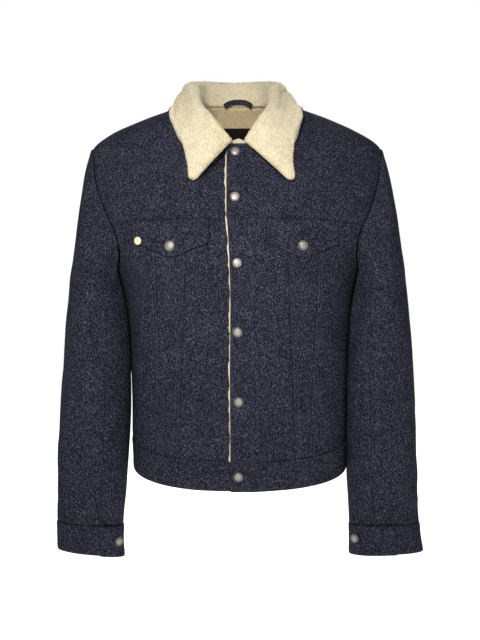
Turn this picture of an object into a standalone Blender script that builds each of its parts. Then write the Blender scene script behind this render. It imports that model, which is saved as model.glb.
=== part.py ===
"""Sherpa lined jacket: a hip-length snap-front jacket, filled out as if worn, with no wearer.

Sizes are in millimetres and are turned into metres when a mesh is made.
X runs to the wearer's left, the front faces -Y, Z is up.
The origin is the base of the wearer's neck, in the plane of the shoulder seams.

The body is one surface: rings stacked in Z, each a rounded oval whose sizes come from BODY.
A place on it is (turn, z), with turn in degrees round from the centre front: 90 is the left side seam,
-90 the right one and 180 the centre back.
Every cut piece is a grid of such places between its four seams, given a wall along the surface's normal.
"""

import bpy
import numpy as np
from mathutils import Vector

MM = 0.001
GARMENT = "sherpa_lined_jacket"

# Walls and gaps
SHELL = 2.0            # flecked shell cloth
BAND = 3.4             # waistband and cuffs, two layers of cloth
FLAP = 2.6             # pocket flap
FLAP_GAP = 0.6         # between a flap and the panels under it
PILE = 5.5             # pile lining, pressed flat by the shell
COLLAR_PILE = 9.0      # pile of the upper collar
SEAM = 0.3             # gap between pieces that meet
LINING_GAP = 0.8       # from the shell's inner face to the pile
LAP_GAP = 1.0          # between the two fronts where they lap

# Heights of the yoke seams, and of the hem: at the sides, and how far it dips at the centre front and back
YOKE_FRONT, YOKE_FRONT_SIDE = -173.0, -181.0
YOKE_BACK = -168.0
HEM_SIDE, HEM_FRONT_DIP, HEM_BACK_DIP = -571.0, 28.0, 14.0
BAND_HEIGHT = 47.0

# Front overlap: the wearer's left front laps over the right one
LAP_EDGE = {            # the left front's edge
    "z": (-600, -420, -260, -195, -160, -60),
    "x": (-9.5, -10.5, -10.5, -13.5, -16, -16),
}
UNDERLAP_EDGE = 22.0   # x of the right front's hidden edge
PILE_SHOWS = 3.4       # how far the pile stands out past the left front's edge
LAP_RISE = 3.0         # the left front stands proud here
LAP_FADE = 42.0        # and comes back to the body's surface this far past the overlap
UNDERLAP_START = -30.0 # from here to its edge the right front lies under the left one
UNDERLAP = -(SHELL + PILE + LINING_GAP + LAP_GAP - LAP_RISE)   # this far inside the body's surface
BAND_LAP_RISE = 2.6
BAND_PROUD = 0.8       # the thicker bands stand this far off the body's surface

# Slanting front seams: x at the yoke and at the waistband
FRONT_INNER_SEAM = (76.0, 92.0)
FRONT_OUTER_SEAM = (130.0, 113.0)
BACK_SEAM = (98.0, 66.0)

# Rows and columns of the grids
YOKE_ROWS = 6
PANEL_ROWS = 15
LOOP_POINTS = 20       # round each armhole
MIDDLE_COLUMNS, SIDE_COLUMNS = 3, 4
BACK_COLUMNS, BACK_SIDE_COLUMNS = 6, 4
SHOULDER_COLUMNS = 5
FRONT_YOKE_LOOP = 6    # armhole point where the front yoke seam ends
BACK_YOKE_LOOP = 15    # and the back one
UNDERARM_LOOP = 10

BODY = {
    "z":     (-610, -575, -520, -440, -356, -300, -255, -207, -167, -128, -95, -75, -62, -52, -42, -32, -23,
              -13, -3, 3, 9, 14, 20),
    "half":  (171, 172, 174, 175, 178, 184, 195, 213, 227, 234, 236, 235, 231, 222, 208, 190, 170,
              146, 118, 101, 83, 68, 54),
    "front": (112, 117, 126, 134, 139, 142, 142, 138, 130, 118, 104, 95, 89, 85, 81, 77, 73,
              70, 67, 65, 62, 59, 55),
    "back":  (118, 121, 125, 128, 131, 133, 135, 135, 131, 122, 111, 104, 99, 95, 90, 85, 81,
              77, 72, 69, 66, 63, 59),
    "power": (2.35, 2.35, 2.35, 2.35, 2.4, 2.4, 2.4, 2.4, 2.35, 2.3, 2.25, 2.2, 2.2, 2.15, 2.15, 2.1, 2.1,
              2.1, 2.1, 2.1, 2.1, 2.1, 2.1),
    "middle": (5, 5, 5, 5, 4.5, 3.5, 2.5, 1.5, 1, 0, 0, 0, 0, 0, 0, 0, 0,
               0, 0, 0, 0, 0, 0),
}

# Broad creases of the body, front and back: x, height, slant off level, half length, half width, swell
FRONT_FOLDS = {
    "across": (72, 104, -78, 62, -92),
    "z":      (-486, -470, -318, -312, -470),
    "slant":  (-69, -72, -20, 15, 74),
    "length": (60, 62, 46, 42, 60),
    "width":  (14, 16, 15, 16, 16),
    "swell":  (-2.6, 1.8, -1.8, 1.5, 1.8),
}
BACK_FOLDS = {
    "across": (-60, 66, -20),
    "z":      (-330, -400, -480),
    "slant":  (24, -28, 70),
    "length": (60, 60, 50),
    "width":  (17, 17, 16),
    "swell":  (2.4, -2.4, 2.0),
}

# Armhole: degrees round from the shoulder tip over the front, depth from the shoulder plane, height
ARMHOLE = {
    "angle": (0, 30, 60, 90, 120, 150, 180, 210, 240, 270, 300, 330),
    "y":     (0, -27, -43, -61, -76, -60, 0, 52, 74, 70, 56, 33),
    "z":     (-62, -80, -119, -157, -200, -241, -255, -243, -204, -160, -119, -82),
}

# Where the columns stand in each centre front panel, as parts of its width from the free edge
CENTRE_SPREAD = {1: (0, 0.2, 0.4, 0.65, 1), -1: (0, 0.22, 0.43, 0.71, 1)}
# and on the neck seam: x of the first ones, then turns
NECK_START = {1: (LAP_EDGE["x"][-1], 4.0, 17.0), -1: (UNDERLAP_EDGE, 0.0, -18.0)}
NECK_TURNS = (11, 24, 45, 89.9)

NECKLINE = {
    "turn": (1, 13, 24, 38, 55, 90, 135, 180),
    "z":    (-58, -36, -11, 0, 8, 14, 13, 12),
}

# Sleeve sections, from the armhole to the cuff: x of the outer and inner side, y of front and back
SLEEVE_RIGHT = {
    "z":     (-730, -667, -590, -512, -434, -356, -300, -250, -200),
    "outer": (287, 289, 288, 286, 281, 276, 271, 265, 258),
    "inner": (183, 183, 176.5, 171.5, 169, 168, 175, 188, 198),
    "front": (-60, -66, -78, -88, -92, -90, -87, -85, -84),
    "back":  (2, 6, 22, 40, 56, 68, 74, 78, 80),
}
SLEEVE_LEFT = {
    "z":     (-730, -667, -590, -512, -434, -356, -300, -250, -200),
    "outer": (303, 294, 289, 287, 285, 280, 275, 269, 262),
    "inner": (182, 181, 177, 174, 172, 173, 178, 190, 199),
    "front": (-60, -66, -78, -88, -92, -90, -87, -85, -84),
    "back":  (2, 6, 22, 40, 56, 68, 74, 78, 80),
}
SLEEVE_POWER = 2.2
SLEEVE_ROWS_UPPER, SLEEVE_ROWS_LOWER = 8, 17
SLEEVE_CLEAR = 1.6     # sleeve to body
CUFF_SEAM, CUFF_END = -661.0, -709.0
CUFF_TILT = {1: 2.0, -1: 6.0}        # how much higher the cuff's end is at its outer side than at its middle
CUFF_EDGE = {1: 78.0, -1: 108.0}     # degrees round the sleeve of the cuff's upper end
CUFF_LAP = 34.0                      # degrees that the cuff laps over itself
CUFF_PROUD = 0.9                     # the cuff stands this far off the sleeve's surface
CUFF_LAP_RISE = 4.0    # and this much more at its lap
CUFF_FADE = (16.0, 60.0)  # degrees over which that fades, at its seam and at its free edge
CUFF_SNAP_SEARCH = (95, 175, 161)    # degrees round the sleeve tried for the snap
CUFF_SNAP_GAP = {1: 1.1, -1: 0.4}    # under the middle of a snap on the cuff's rounded side
# Broad creases of each sleeve: millimetres round it from its outer side over the front, then as on the body
SLEEVE_ROUND = 415.0
SLEEVE_FOLDS = {
    1: {
        "across": (148, 110, 58, 86, 28, 328, 276, 345),
        "z":      (-245, -255, -400, -430, -570, -330, -440, -560),
        "slant":  (84, 80, 72, -78, 30, -24, 20, -30),
        "length": (75, 70, 90, 70, 50, 60, 55, 55),
        "width":  (13, 17, 20, 15, 18, 18, 18, 18),
        "swell":  (-3.2, 2.6, 2.4, -2.4, 2.2, 3.0, -3.0, 2.6),
    },
    -1: {
        "across": (150, 92, 69, 104, 52, 322, 282, 345),
        "z":      (-225, -300, -455, -560, -545, -320, -455, -570),
        "slant":  (80, 82, 70, -70, 24, 24, -20, 26),
        "length": (65, 85, 60, 55, 50, 60, 55, 50),
        "width":  (13, 20, 18, 15, 19, 18, 18, 18),
        "swell":  (-3.0, 2.4, 2.6, -2.4, 2.0, 3.0, -2.8, 2.4),
    },
}
SLEEVE_SEAMS = (6, 14)               # armhole points where the front and back sleeve seams start

# Collar, from the centre front to the centre back: turn of the neck seam, half x, y and z of the roll's top
# and its radius
COLLAR = {
    "turn":   (2, 11, 24, 45, 89, 125, 152, 180),
    "roll_x": (8.5, 33, 59, 63, 71.6, 61, 34, 0),
    "roll_y": (-99.5, -94, -70, -36, 2, 48, 74, 84),
    "roll_z": (-54, -20, 12, 36.8, 43.8, 51, 53, 52),
    "radius": (4.5, 8, 10, 11, 12, 12, 12, 12),
}
COLLAR_EDGE = {        # its outer edge on the body, at parts of its half length, and the space under it
    "at":    (0, 0.06, 0.143, 0.286, 0.43, 0.5, 0.58, 0.714, 0.857, 1),
    "turn":  (15.1, 17.1, 17.3, 20.5, 30.7, 42.6, 81, 145, 164, 180),
    "z":     (-119.5, -117.5, -98, -56, -26.5, -6.5, 7.5, -12, -30, -34),
    "clear": (2.0, 2.3, 3.0, 6.8, 10.2, 9.3, 4.8, 2.5, 1.5, 1.5),
}
COLLAR_STAND = (0, 0.34, 0.68, 1)          # rows up the stand
COLLAR_ROLL = (30, 60, 90, 120, 150)       # degrees of the rows round the roll
COLLAR_FALL = 7                            # rows down the fall
COLLAR_ROUND = 3.0     # how far the pile thins at the outer edge
COLLAR_BULGE = (7.0, 0.5)  # how far the fall bows out, at the front and round the neck
COLLAR_INSIDE = 8.0    # how far inside the neck seam its pile face starts
ROLL_CORE = 0.6        # radius left free inside the roll
COLLAR_FOOT = (4.2, 1.4)  # from the neck seam up to the collar's foot, at the front and the back
COLLAR_COLUMNS = 12    # in each half
COLLAR_LEAN = {"z": (-120, -89, -48, 0, 60), "x": (8.8, 5.4, 1.4, -1.9, -5.4)}  # the collar's middle wanders with height
UNDER_COLLAR = 1.4
FALL_ROW = 10          # first row of the collar's grid below the roll
UNDER_COLLAR_INSET = 2     # columns that the under collar stops short of the upper one's front edges

# Hardware: radius and height
SNAP = (8.0, 3.6)
FLAP_SNAP = (8.6, 3.8)
RIVET = (6.3, 2.0)
FRONT_SNAPS = ((-2.5, -72), (-2.8, -142), (0.5, -242), (1.1, -348), (2.8, -456))
BAND_SNAP = (2.5, -574)
FLAP_SNAPS = {1: (100.6, -215.5), -1: (-101.6, -216.2)}
CUFF_SNAPS = {1: (190.5, -682.0), -1: (-192.6, -684.0)}
RIVET_PLACE = (-151.3, -208.4)

CAP = ((0, 1), (0.45, 0.93), (0.78, 0.66), (0.95, 0.36), (1, 0.18), (0.97, 0), (0, 0))  # profile: radius, height
CAP_STEPS = 14

# Pocket flaps: x and z of the inner corner, the point and the outer corner
FLAPS = {1: ((46, -211.5), (102, -236.5), (155.5, -213.5)), -1: ((-42.5, -210), (-101, -236), (-160, -208.5))}

# Inside the back of the neck
LABEL = {"x": (50.0, -48.0), "z": (-82.0, -20.0), "thick": 1.0, "off": 1.6}
LOOP = {"half_span": 22.0, "rise": 10.0, "width": 8.0, "depth": 1.8, "foot": 8.5, "x": 2.0, "off": 11.3}


def smooth(at, knots, values):
    """Cubic curve through rising knots; the slope at each knot comes from its neighbours."""
    knots, values = np.asarray(knots, float), np.asarray(values, float)
    slopes = np.gradient(values, knots)
    at = np.clip(at, knots[0], knots[-1])
    i = np.clip(np.searchsorted(knots, at, side="right") - 1, 0, len(knots) - 2)
    span = knots[i + 1] - knots[i]
    s = (at - knots[i]) / span
    return (
        (1 + 2 * s) * (1 - s) ** 2 * values[i] + s * (1 - s) ** 2 * span * slopes[i]
        + s * s * (3 - 2 * s) * values[i + 1] + s * s * (s - 1) * span * slopes[i + 1]
    )


def ramp(value, start, end):
    """0 before start, 1 after end, eased between."""
    s = np.clip((value - start) / (end - start), 0, 1)
    return s * s * (3 - 2 * s)


def creases(folds, across, z, lap=0.0):
    """Height of broad creases: each a long soft swell, a trough where negative; lap is the way once round."""
    height = 0.0 * across * z
    for middle, level, slant, half_length, half_width, swell in zip(*folds.values()):
        off_x, off_z = across - middle, z - level
        if lap:
            off_x = (off_x + lap / 2) % lap - lap / 2
        turn = np.radians(slant)
        along = off_x * np.cos(turn) + off_z * np.sin(turn)
        aside = off_z * np.cos(turn) - off_x * np.sin(turn)
        height = height + swell * np.exp(-(along / half_length) ** 2 - (aside / half_width) ** 2)
    return height


def body_sizes(z):
    """Half width, front depth, back depth and roundness of the ring at a height."""
    return [smooth(z, BODY["z"], BODY[name]) for name in ("half", "front", "back", "power")]


def body_middle(z):
    """x of the ring's middle: the body hangs a little to the wearer's left."""
    return smooth(z, BODY["z"], BODY["middle"])


def body_point(turn, z):
    """Places on the body's surface."""
    half, front, back, power = body_sizes(z)
    s, c = np.sin(np.radians(turn)), np.cos(np.radians(turn))
    x = half * np.sign(s) * np.abs(s) ** (2 / power) + body_middle(z)
    depth = np.where(c > 0, front + creases(FRONT_FOLDS, x, z), back + creases(BACK_FOLDS, x, z))
    y = -depth * np.sign(c) * np.abs(c) ** (2 / power)
    return np.stack([x, y, z + 0 * x], axis=-1)


def unit(vectors):
    return vectors / np.linalg.norm(vectors, axis=-1, keepdims=True)


def body_normal(turn, z):
    """Outward normals, from differences along the two directions."""
    around = body_point(turn + 0.5, z) - body_point(turn - 0.5, z)
    up = body_point(turn, z + 1) - body_point(turn, z - 1)
    return unit(np.cross(around, up))


def turn_at_x(x, z, back=False):
    """Turn of the place at this x and height, on the front or on the back."""
    half, _, _, power = body_sizes(z)
    off = x - body_middle(z)
    ratio = np.clip(np.abs(off) / half, 0, 1) ** (power / 2)
    turn = np.sign(off) * np.degrees(np.arcsin(ratio))
    return 180 - turn if back else turn


def places(turn, z):
    """One array of (turn, z) places."""
    turn, z = np.broadcast_arrays(np.asarray(turn, float), np.asarray(z, float))
    return np.stack([turn, z], axis=-1)


def between(first, last, count, bend=1.0):
    """Evenly spread places from one to another, crowded towards the end where bend is over 1."""
    s = 1 - (1 - np.linspace(0, 1, count + 1)) ** bend
    return np.asarray(first, float) + s[:, None] * (np.asarray(last, float) - np.asarray(first, float))


def joined(*runs):
    """Runs of places end to end, each shared end kept once."""
    return np.concatenate([runs[0]] + [run[1:] for run in runs[1:]])


def patch(bottom, top, left, right, spread=None):
    """Grid of places inside four edges: the edges blended, less their corners (a Coons patch)."""
    u = (np.linspace(0, 1, len(bottom)) if spread is None else spread)[:, None, None]
    v = np.linspace(0, 1, len(left))[None, :, None]
    sides = (1 - u) * left[None] + u * right[None]
    ends = (1 - v) * bottom[:, None] + v * top[:, None]
    corners = (1 - u) * (1 - v) * bottom[0] + u * (1 - v) * bottom[-1] + (1 - u) * v * top[0] + u * v * top[-1]
    return sides + ends - corners


def drawn_in(points, gap):
    """The grid with its four edges moved towards their neighbours."""
    points = points.copy()
    for axis in (0, 1):
        rows = np.moveaxis(points, axis, 0)
        rows[0] += gap * unit(rows[1] - rows[0])
        rows[-1] += gap * unit(rows[-2] - rows[-1])
    return points


def wall_faces(columns, rows):
    """Quads of a wall: its outer grid, its inner grid turned round, and the rims that join them."""
    index = np.arange(columns * rows).reshape(columns, rows)
    inner = index + columns * rows

    def quads(a, b, c, d):
        return np.stack([a, b, c, d], axis=-1).reshape(-1, 4)

    return np.concatenate([
        quads(index[:-1, :-1], index[1:, :-1], index[1:, 1:], index[:-1, 1:]),
        quads(inner[:-1, :-1], inner[:-1, 1:], inner[1:, 1:], inner[1:, :-1]),
        quads(index[1:, 0], index[:-1, 0], inner[:-1, 0], inner[1:, 0]),
        quads(index[:-1, -1], index[1:, -1], inner[1:, -1], inner[:-1, -1]),
        quads(index[0, :-1], index[0, 1:], inner[0, 1:], inner[0, :-1]),
        quads(index[-1, 1:], index[-1, :-1], inner[-1, :-1], inner[-1, 1:]),
    ])


def material(name, colour, roughness, metallic=0.0):
    made = bpy.data.materials.get(name)
    if made:
        return made
    made = bpy.data.materials.new(name)
    made.use_nodes = True
    made.diffuse_color = (*colour, 1)
    shader = made.node_tree.nodes["Principled BSDF"]
    shader.inputs["Base Color"].default_value = (*colour, 1)
    shader.inputs["Roughness"].default_value = roughness
    shader.inputs["Metallic"].default_value = metallic
    return made


def denim():
    return material("flecked_denim", (0.033, 0.036, 0.055), 0.85)


def sherpa():
    return material("cream_pile", (0.80, 0.72, 0.52), 0.95)


def wall(name, outer, inner, finish):
    """A closed piece between two grids of points."""
    columns, rows = outer.shape[:2]
    points = np.concatenate([outer.reshape(-1, 3), inner.reshape(-1, 3)]) * MM
    mesh = bpy.data.meshes.new(name)
    mesh.from_pydata(points.tolist(), [], wall_faces(columns, rows).tolist())
    mesh.materials.append(finish)
    mesh.shade_smooth()
    piece = bpy.data.objects.new(name, mesh)
    bpy.data.collections[GARMENT].objects.link(piece)
    return piece


def body_wall(name, grid, thickness, finish, outside=0.0, gap=SEAM / 2):
    """A wall on the body's surface; outside is its outer face's distance from it, a number or a function."""
    turn, z = grid[..., 0], grid[..., 1]
    normal = body_normal(turn, z)
    proud = outside(body_point(turn, z)) if callable(outside) else outside + 0 * turn
    surface = drawn_in(body_point(turn, z), gap)
    outer = surface + proud[..., None] * normal
    return wall(name, outer, outer - thickness * normal, finish)


# ---------------------------------------------------------------- seams

def armhole(point, side):
    """Places of the armhole's points: 0 at the shoulder tip, then over the front, the underarm and the back."""
    angle = np.asarray(point, float) * 360 / LOOP_POINTS % 360
    knots = np.array(ARMHOLE["angle"], float)
    knots = np.concatenate([knots - 360, knots, knots + 360])
    y = smooth(angle, knots, np.tile(ARMHOLE["y"], 3))
    z = smooth(angle, knots, np.tile(ARMHOLE["z"], 3))
    _, front, back, power = body_sizes(z)
    depth = np.where(y < 0, front, back)
    turn = np.degrees(np.arccos(np.clip(np.abs(y) / depth, 0, 1) ** (power / 2)))
    turn = np.where(y > 0, 180 - turn, turn)
    return places(side * turn, z)


def neck_height(turn):
    """Height of the neck seam at a turn, the same on both sides."""
    return smooth(180 - np.abs(180 - np.abs(turn)), NECKLINE["turn"], NECKLINE["z"])


def hem_height(turn):
    """Height of the hem: lowest at the centre front, a little lower at the back than at the sides."""
    c = np.cos(np.radians(turn))
    return HEM_SIDE - np.where(c > 0, HEM_FRONT_DIP, HEM_BACK_DIP) * np.abs(c)


def on_hem(turn, raised):
    return places(turn, hem_height(np.asarray(turn, float)) + raised)


def front_seam(xs, side):
    """A slanting seam from the yoke down to the waistband, as places from the bottom up."""
    top_x, bottom_x = xs
    top = (turn_at_x(side * top_x, yoke_height(top_x)), yoke_height(top_x))
    bottom_turn = turn_at_x(side * bottom_x, HEM_SIDE)
    bottom = on_hem(bottom_turn, BAND_HEIGHT)
    s = np.linspace(0, 1, PANEL_ROWS + 1)
    z = bottom[1] + s * (top[1] - bottom[1])
    x = side * (bottom_x + s * (top_x - bottom_x))
    return places(turn_at_x(x, z), z)


def yoke_height(x):
    """Height of the front yoke seam at a distance from the centre."""
    return YOKE_FRONT + (YOKE_FRONT_SIDE - YOKE_FRONT) * (abs(x) / 200) ** 2


def side_edge(side):
    """The side seam from the waistband to the underarm, then the armhole up to the front yoke seam."""
    loop = armhole(np.arange(UNDERARM_LOOP, FRONT_YOKE_LOOP - 1, -1), side)
    return joined(between(on_hem(side * 90, BAND_HEIGHT), loop[0], PANEL_ROWS + 1 - len(loop)), loop)


def lap_rise(side):
    """How far the front stands off the body's surface where the fronts lap."""
    def rise(points):
        if side > 0:
            return LAP_RISE * (1 - ramp(points[..., 0], UNDERLAP_EDGE + 2, UNDERLAP_EDGE + LAP_FADE))
        return UNDERLAP * ramp(points[..., 0], UNDERLAP_START - LAP_FADE, UNDERLAP_START)
    return rise


# ---------------------------------------------------------------- the body's panels

def free_edge(side, z):
    """x of a front's free edge: the left one, on top, leans a little."""
    if side > 0:
        return smooth(z, LAP_EDGE["z"], LAP_EDGE["x"])
    return UNDERLAP_EDGE + 0 * z


def front_runs(side):
    """The long seams of one front, bottom up: free edge, inner seam, outer seam, side."""
    low_z = on_hem(turn_at_x(free_edge(side, HEM_SIDE), HEM_SIDE), BAND_HEIGHT)[1]
    edge_z = np.linspace(low_z, YOKE_FRONT, PANEL_ROWS + 1)
    edge = places(turn_at_x(free_edge(side, edge_z), edge_z), edge_z)
    return edge, front_seam(FRONT_INNER_SEAM, side), front_seam(FRONT_OUTER_SEAM, side), side_edge(side)


def panel(left, right, spread):
    """Grid between two long seams; spread says where its columns stand across."""
    spread = np.asarray(spread, float)[:, None]
    low_turn = left[0, 0] + spread[:, 0] * (right[0, 0] - left[0, 0])
    high = left[-1] + spread * (right[-1] - left[-1])
    return patch(on_hem(low_turn, BAND_HEIGHT), high, left, right, spread[:, 0])


def front_yoke(side, bottom):
    """Grid from the yoke seam up to the neck and the shoulder seam, laid out in x and z."""
    neck_z = NECKLINE["z"][0]
    start = places(turn_at_x(np.array(NECK_START[side]), neck_z), neck_z)
    turns = np.array(NECK_TURNS, float)
    neck = places(side * turns, neck_height(turns))
    shoulder = between((NECK_TURNS[-1] * side, neck_height(NECK_TURNS[-1])), armhole(0, side), SHOULDER_COLUMNS)
    top = joined(np.concatenate([start, neck]), shoulder)
    right = armhole(np.arange(FRONT_YOKE_LOOP, -1, -1), side)
    edge_z = between((YOKE_FRONT,), (neck_z,), YOKE_ROWS, bend=2.0)[:, 0]
    left = places(turn_at_x(NECK_START[side][0], edge_z), edge_z)
    grid = patch(*(to_x(run) for run in (bottom, top, left, right)))
    return places(turn_at_x(grid[..., 0], grid[..., 1]), grid[..., 1])


def to_x(run):
    """Places (turn, z) as (x, z)."""
    return np.stack([body_point(run[..., 0], run[..., 1])[..., 0], run[..., 1]], axis=-1)


def outward(grid, side):
    """Columns in the order of rising turn, so that the wall's outer face points out."""
    return grid if side > 0 else grid[::-1]


def front(side, word):
    """Yoke, three panels and pile lining of one front; gives the panels' lower edge for the waistband."""
    edge, inner, outer, flank = front_runs(side)
    rise = lap_rise(side)
    grids = {
        "centre_front": panel(edge, inner, CENTRE_SPREAD[side]),
        "middle_front": panel(inner, outer, np.linspace(0, 1, MIDDLE_COLUMNS + 1)),
        "side_front": panel(outer, flank, np.linspace(0, 1, SIDE_COLUMNS + 1)),
    }
    tops = joined(*(grid[:, -1] for grid in grids.values()))
    yoke = front_yoke(side, tops)
    for name, grid in {**grids, "front_yoke": yoke}.items():
        body_wall(f"{name}_{word}", outward(grid, side), SHELL, denim(), rise)
    lower = joined(*grids.values())
    lining = np.concatenate([lower, yoke[:, 1:]], axis=1)
    if side > 0:
        lining[0, :, 0] = turn_at_x(free_edge(1, lining[0, :, 1]) - PILE_SHOWS, lining[0, :, 1])
    body_wall(f"front_lining_{word}", outward(lining, side), PILE, sherpa(),
              lambda points: rise(points) - SHELL - LINING_GAP, gap=0.5)
    return lower[:, 0]


def back():
    """Yoke, centre and side panels and pile lining of the back; gives the panels' lower edge."""
    loop = np.arange(UNDERARM_LOOP, BACK_YOKE_LOOP + 1)
    flank = {side: joined(between(on_hem(side * 90, BAND_HEIGHT), armhole(UNDERARM_LOOP, side),
                                  PANEL_ROWS + 1 - len(loop)), armhole(loop, side)) for side in (1, -1)}
    flank[-1] = flank[-1] + (360, 0)
    s = np.linspace(0, 1, PANEL_ROWS + 1)
    low_z = on_hem(turn_at_x(BACK_SEAM[1], HEM_SIDE, back=True), BAND_HEIGHT)[1]
    seam_z = low_z + s * (YOKE_BACK - low_z)
    seam_turn = turn_at_x(BACK_SEAM[1] + s * (BACK_SEAM[0] - BACK_SEAM[1]), seam_z, back=True)
    seam = {1: places(seam_turn, seam_z), -1: places(360 - seam_turn, seam_z)}
    side_spread = np.linspace(0, 1, BACK_SIDE_COLUMNS + 1)
    grids = {
        "side_back_left": panel(flank[1], seam[1], side_spread),
        "centre_back": panel(seam[1], seam[-1], np.linspace(0, 1, BACK_COLUMNS + 1)),
        "side_back_right": panel(seam[-1], flank[-1], side_spread),
    }
    bottom = joined(*(grid[:, -1] for grid in grids.values()))
    neck_turns = np.linspace(180 - NECK_TURNS[-1], 180 + NECK_TURNS[-1], len(bottom) - 2 * SHOULDER_COLUMNS)
    neck = places(neck_turns, neck_height(neck_turns))
    tips = armhole(0, 1), armhole(0, -1) + (360, 0)
    top = joined(between(tips[0], neck[0], SHOULDER_COLUMNS), neck, between(neck[-1], tips[1], SHOULDER_COLUMNS))
    rise = np.arange(BACK_YOKE_LOOP, LOOP_POINTS + 1)
    edges = bottom, top, armhole(rise, 1), armhole(rise, -1) + (360, 0)
    grid = patch(*(to_x(run) for run in edges))
    yoke = places(turn_at_x(grid[..., 0], grid[..., 1], back=True), grid[..., 1])
    for name, grid in {**grids, "back_yoke": yoke}.items():
        body_wall(name, grid, SHELL, denim())
    lower = joined(*grids.values())
    lining = np.concatenate([lower, yoke[:, 1:]], axis=1)
    body_wall("back_lining", lining, PILE, sherpa(), -SHELL - LINING_GAP, gap=0.5)
    return lower[:, 0]


def waistband(low):
    """Two halves that meet at the centre back and lap at the centre front."""
    halves = {1: low[: len(low) // 2 + 1], -1: low[len(low) // 2:]}
    for side, run in halves.items():
        turns = run[:, 0]
        rows = [on_hem(turns, raised * BAND_HEIGHT) for raised in (0, 0.35, 0.7, 1)]
        under = -(BAND + LAP_GAP - BAND_LAP_RISE)

        def rise(points, side=side, under=under):
            front_x = np.where(points[..., 1] < 0, points[..., 0], side * 200)
            if side > 0:
                return BAND_PROUD + BAND_LAP_RISE * (1 - ramp(front_x, UNDERLAP_EDGE + 2, UNDERLAP_EDGE + LAP_FADE))
            z = points[..., 2]
            raised = (z - z[:, :1]) / (z[:, -1:] - z[:, :1])
            depth = under + (UNDERLAP - under) * ramp(raised, 0.3, 1)
            return BAND_PROUD + depth * ramp(front_x, UNDERLAP_START - LAP_FADE, UNDERLAP_START)
        word = "left" if side > 0 else "right"
        body_wall(f"waistband_{word}", np.stack(rows, axis=1), BAND, denim(), rise)


# ---------------------------------------------------------------- sleeves

def sleeve_section(side, angle, z):
    """Places round a sleeve, as on the left; angle is 0 at its outer side, 90 in front, 180 next to the body."""
    table = SLEEVE_LEFT if side > 0 else SLEEVE_RIGHT
    outer, inner, front_y, back_y = (smooth(z, table["z"], table[name]) for name in ("outer", "inner", "front", "back"))
    c, s = np.cos(np.radians(angle)), np.sin(np.radians(angle))
    bend = 2 / SLEEVE_POWER
    x = (outer + inner) / 2 + (outer - inner) / 2 * np.sign(c) * np.abs(c) ** bend
    y = (front_y + back_y) / 2 + (front_y - back_y) / 2 * np.sign(s) * np.abs(s) ** bend
    return clear_of_body(np.stack([x, y, z + 0 * x], axis=-1), SLEEVE_CLEAR, side)


def clear_of_body(points, clearance, side):
    """The points, moved out in x where they would come nearer the body's side than this."""
    x, y, z = np.moveaxis(points, -1, 0)
    half, front_depth, back_depth, power = body_sizes(z)
    depth = np.where(y < 0, front_depth, back_depth)
    body_x = half * (1 - np.clip(np.abs(y) / depth, 0, 1) ** power) ** (1 / power)
    return np.stack([np.maximum(x, body_x + side * body_middle(z) + clearance), y, z], axis=-1)


def sleeve_tube(side):
    """Grid of the whole sleeve, as on the left, with its first column repeated last, and its normals."""
    point = np.arange(LOOP_POINTS + 1)
    angle = point * 360.0 / LOOP_POINTS
    c = np.cos(np.radians(angle))
    joint_z = -262 + 30 * c
    start_places = armhole(point, side)
    start = body_point(start_places[:, 0], start_places[:, 1]) * (side, 1, 1)
    out = 0.48 + 0.20 * c
    way = np.stack([out, 0.12 * np.sign(start[:, 1]) * np.abs(start[:, 1]) / 80, -np.sqrt(1 - out ** 2)], axis=-1)
    joint = sleeve_section(side, angle, joint_z)
    down = unit(sleeve_section(side, angle, joint_z - 8) - joint)
    reach = np.linalg.norm(joint - start, axis=-1)[:, None]
    start = start + SEAM * way
    curve = [start, start + 0.11 * reach * way, joint - 0.35 * reach * down, joint]
    s = np.linspace(0, 1, SLEEVE_ROWS_UPPER + 1)[:, None, None] ** 1.25
    upper = ((1 - s) ** 3 * curve[0] + 3 * s * (1 - s) ** 2 * curve[1]
             + 3 * s * s * (1 - s) * curve[2] + s ** 3 * curve[3])
    upper[1:] = clear_of_body(upper[1:], SLEEVE_CLEAR, side)
    row = np.linspace(0, 1, SLEEVE_ROWS_LOWER + 1)[1:, None]
    end_z = CUFF_SEAM + CUFF_TILT[side] / 2 * c
    lower_z = joint_z + row * (end_z - joint_z)
    lower = sleeve_section(side, angle + 0 * row, lower_z)
    points = np.concatenate([upper, lower]).transpose(1, 0, 2)
    across = angle[:, None] / 360 * SLEEVE_ROUND
    swell = creases(SLEEVE_FOLDS[side], across, points[..., 2], SLEEVE_ROUND)
    points = points + (swell * ramp(np.arange(points.shape[1]), 0, 3))[..., None] * tube_normals(points)
    points[:, 1:] = clear_of_body(points[:, 1:], SLEEVE_CLEAR, side)
    return points, tube_normals(points)


def tube_normals(points):
    """Outward normals of a closed tube whose first column is repeated last; rows run down it."""
    around = np.roll(points[:-1], -1, axis=0) - np.roll(points[:-1], 1, axis=0)
    around = np.concatenate([around, around[:1]])
    down = np.gradient(points, axis=1)
    return unit(np.cross(around, down))


def strip(name, points, normals, side, thickness, finish, gap=SEAM / 2, outside=0.0):
    """Wall of some columns of a tube, mirrored for the right side; its edges are drawn in."""
    surface = drawn_in(points, gap)
    outer = surface + outside * normals
    inner = outer - thickness * normals
    grids = [outward(grid * (side, 1, 1), side) for grid in (outer, inner)]
    return wall(name, *grids, finish)


def sleeve(side, word):
    points, normals = sleeve_tube(side)
    first, last = SLEEVE_SEAMS
    over = np.arange(last, first + LOOP_POINTS + 1) % LOOP_POINTS
    under = np.arange(first, last + 1)
    strip(f"top_sleeve_{word}", points[over], normals[over], side, SHELL, denim())
    strip(f"under_sleeve_{word}", points[under], normals[under], side, SHELL, denim())
    cuff(side, word)


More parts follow.
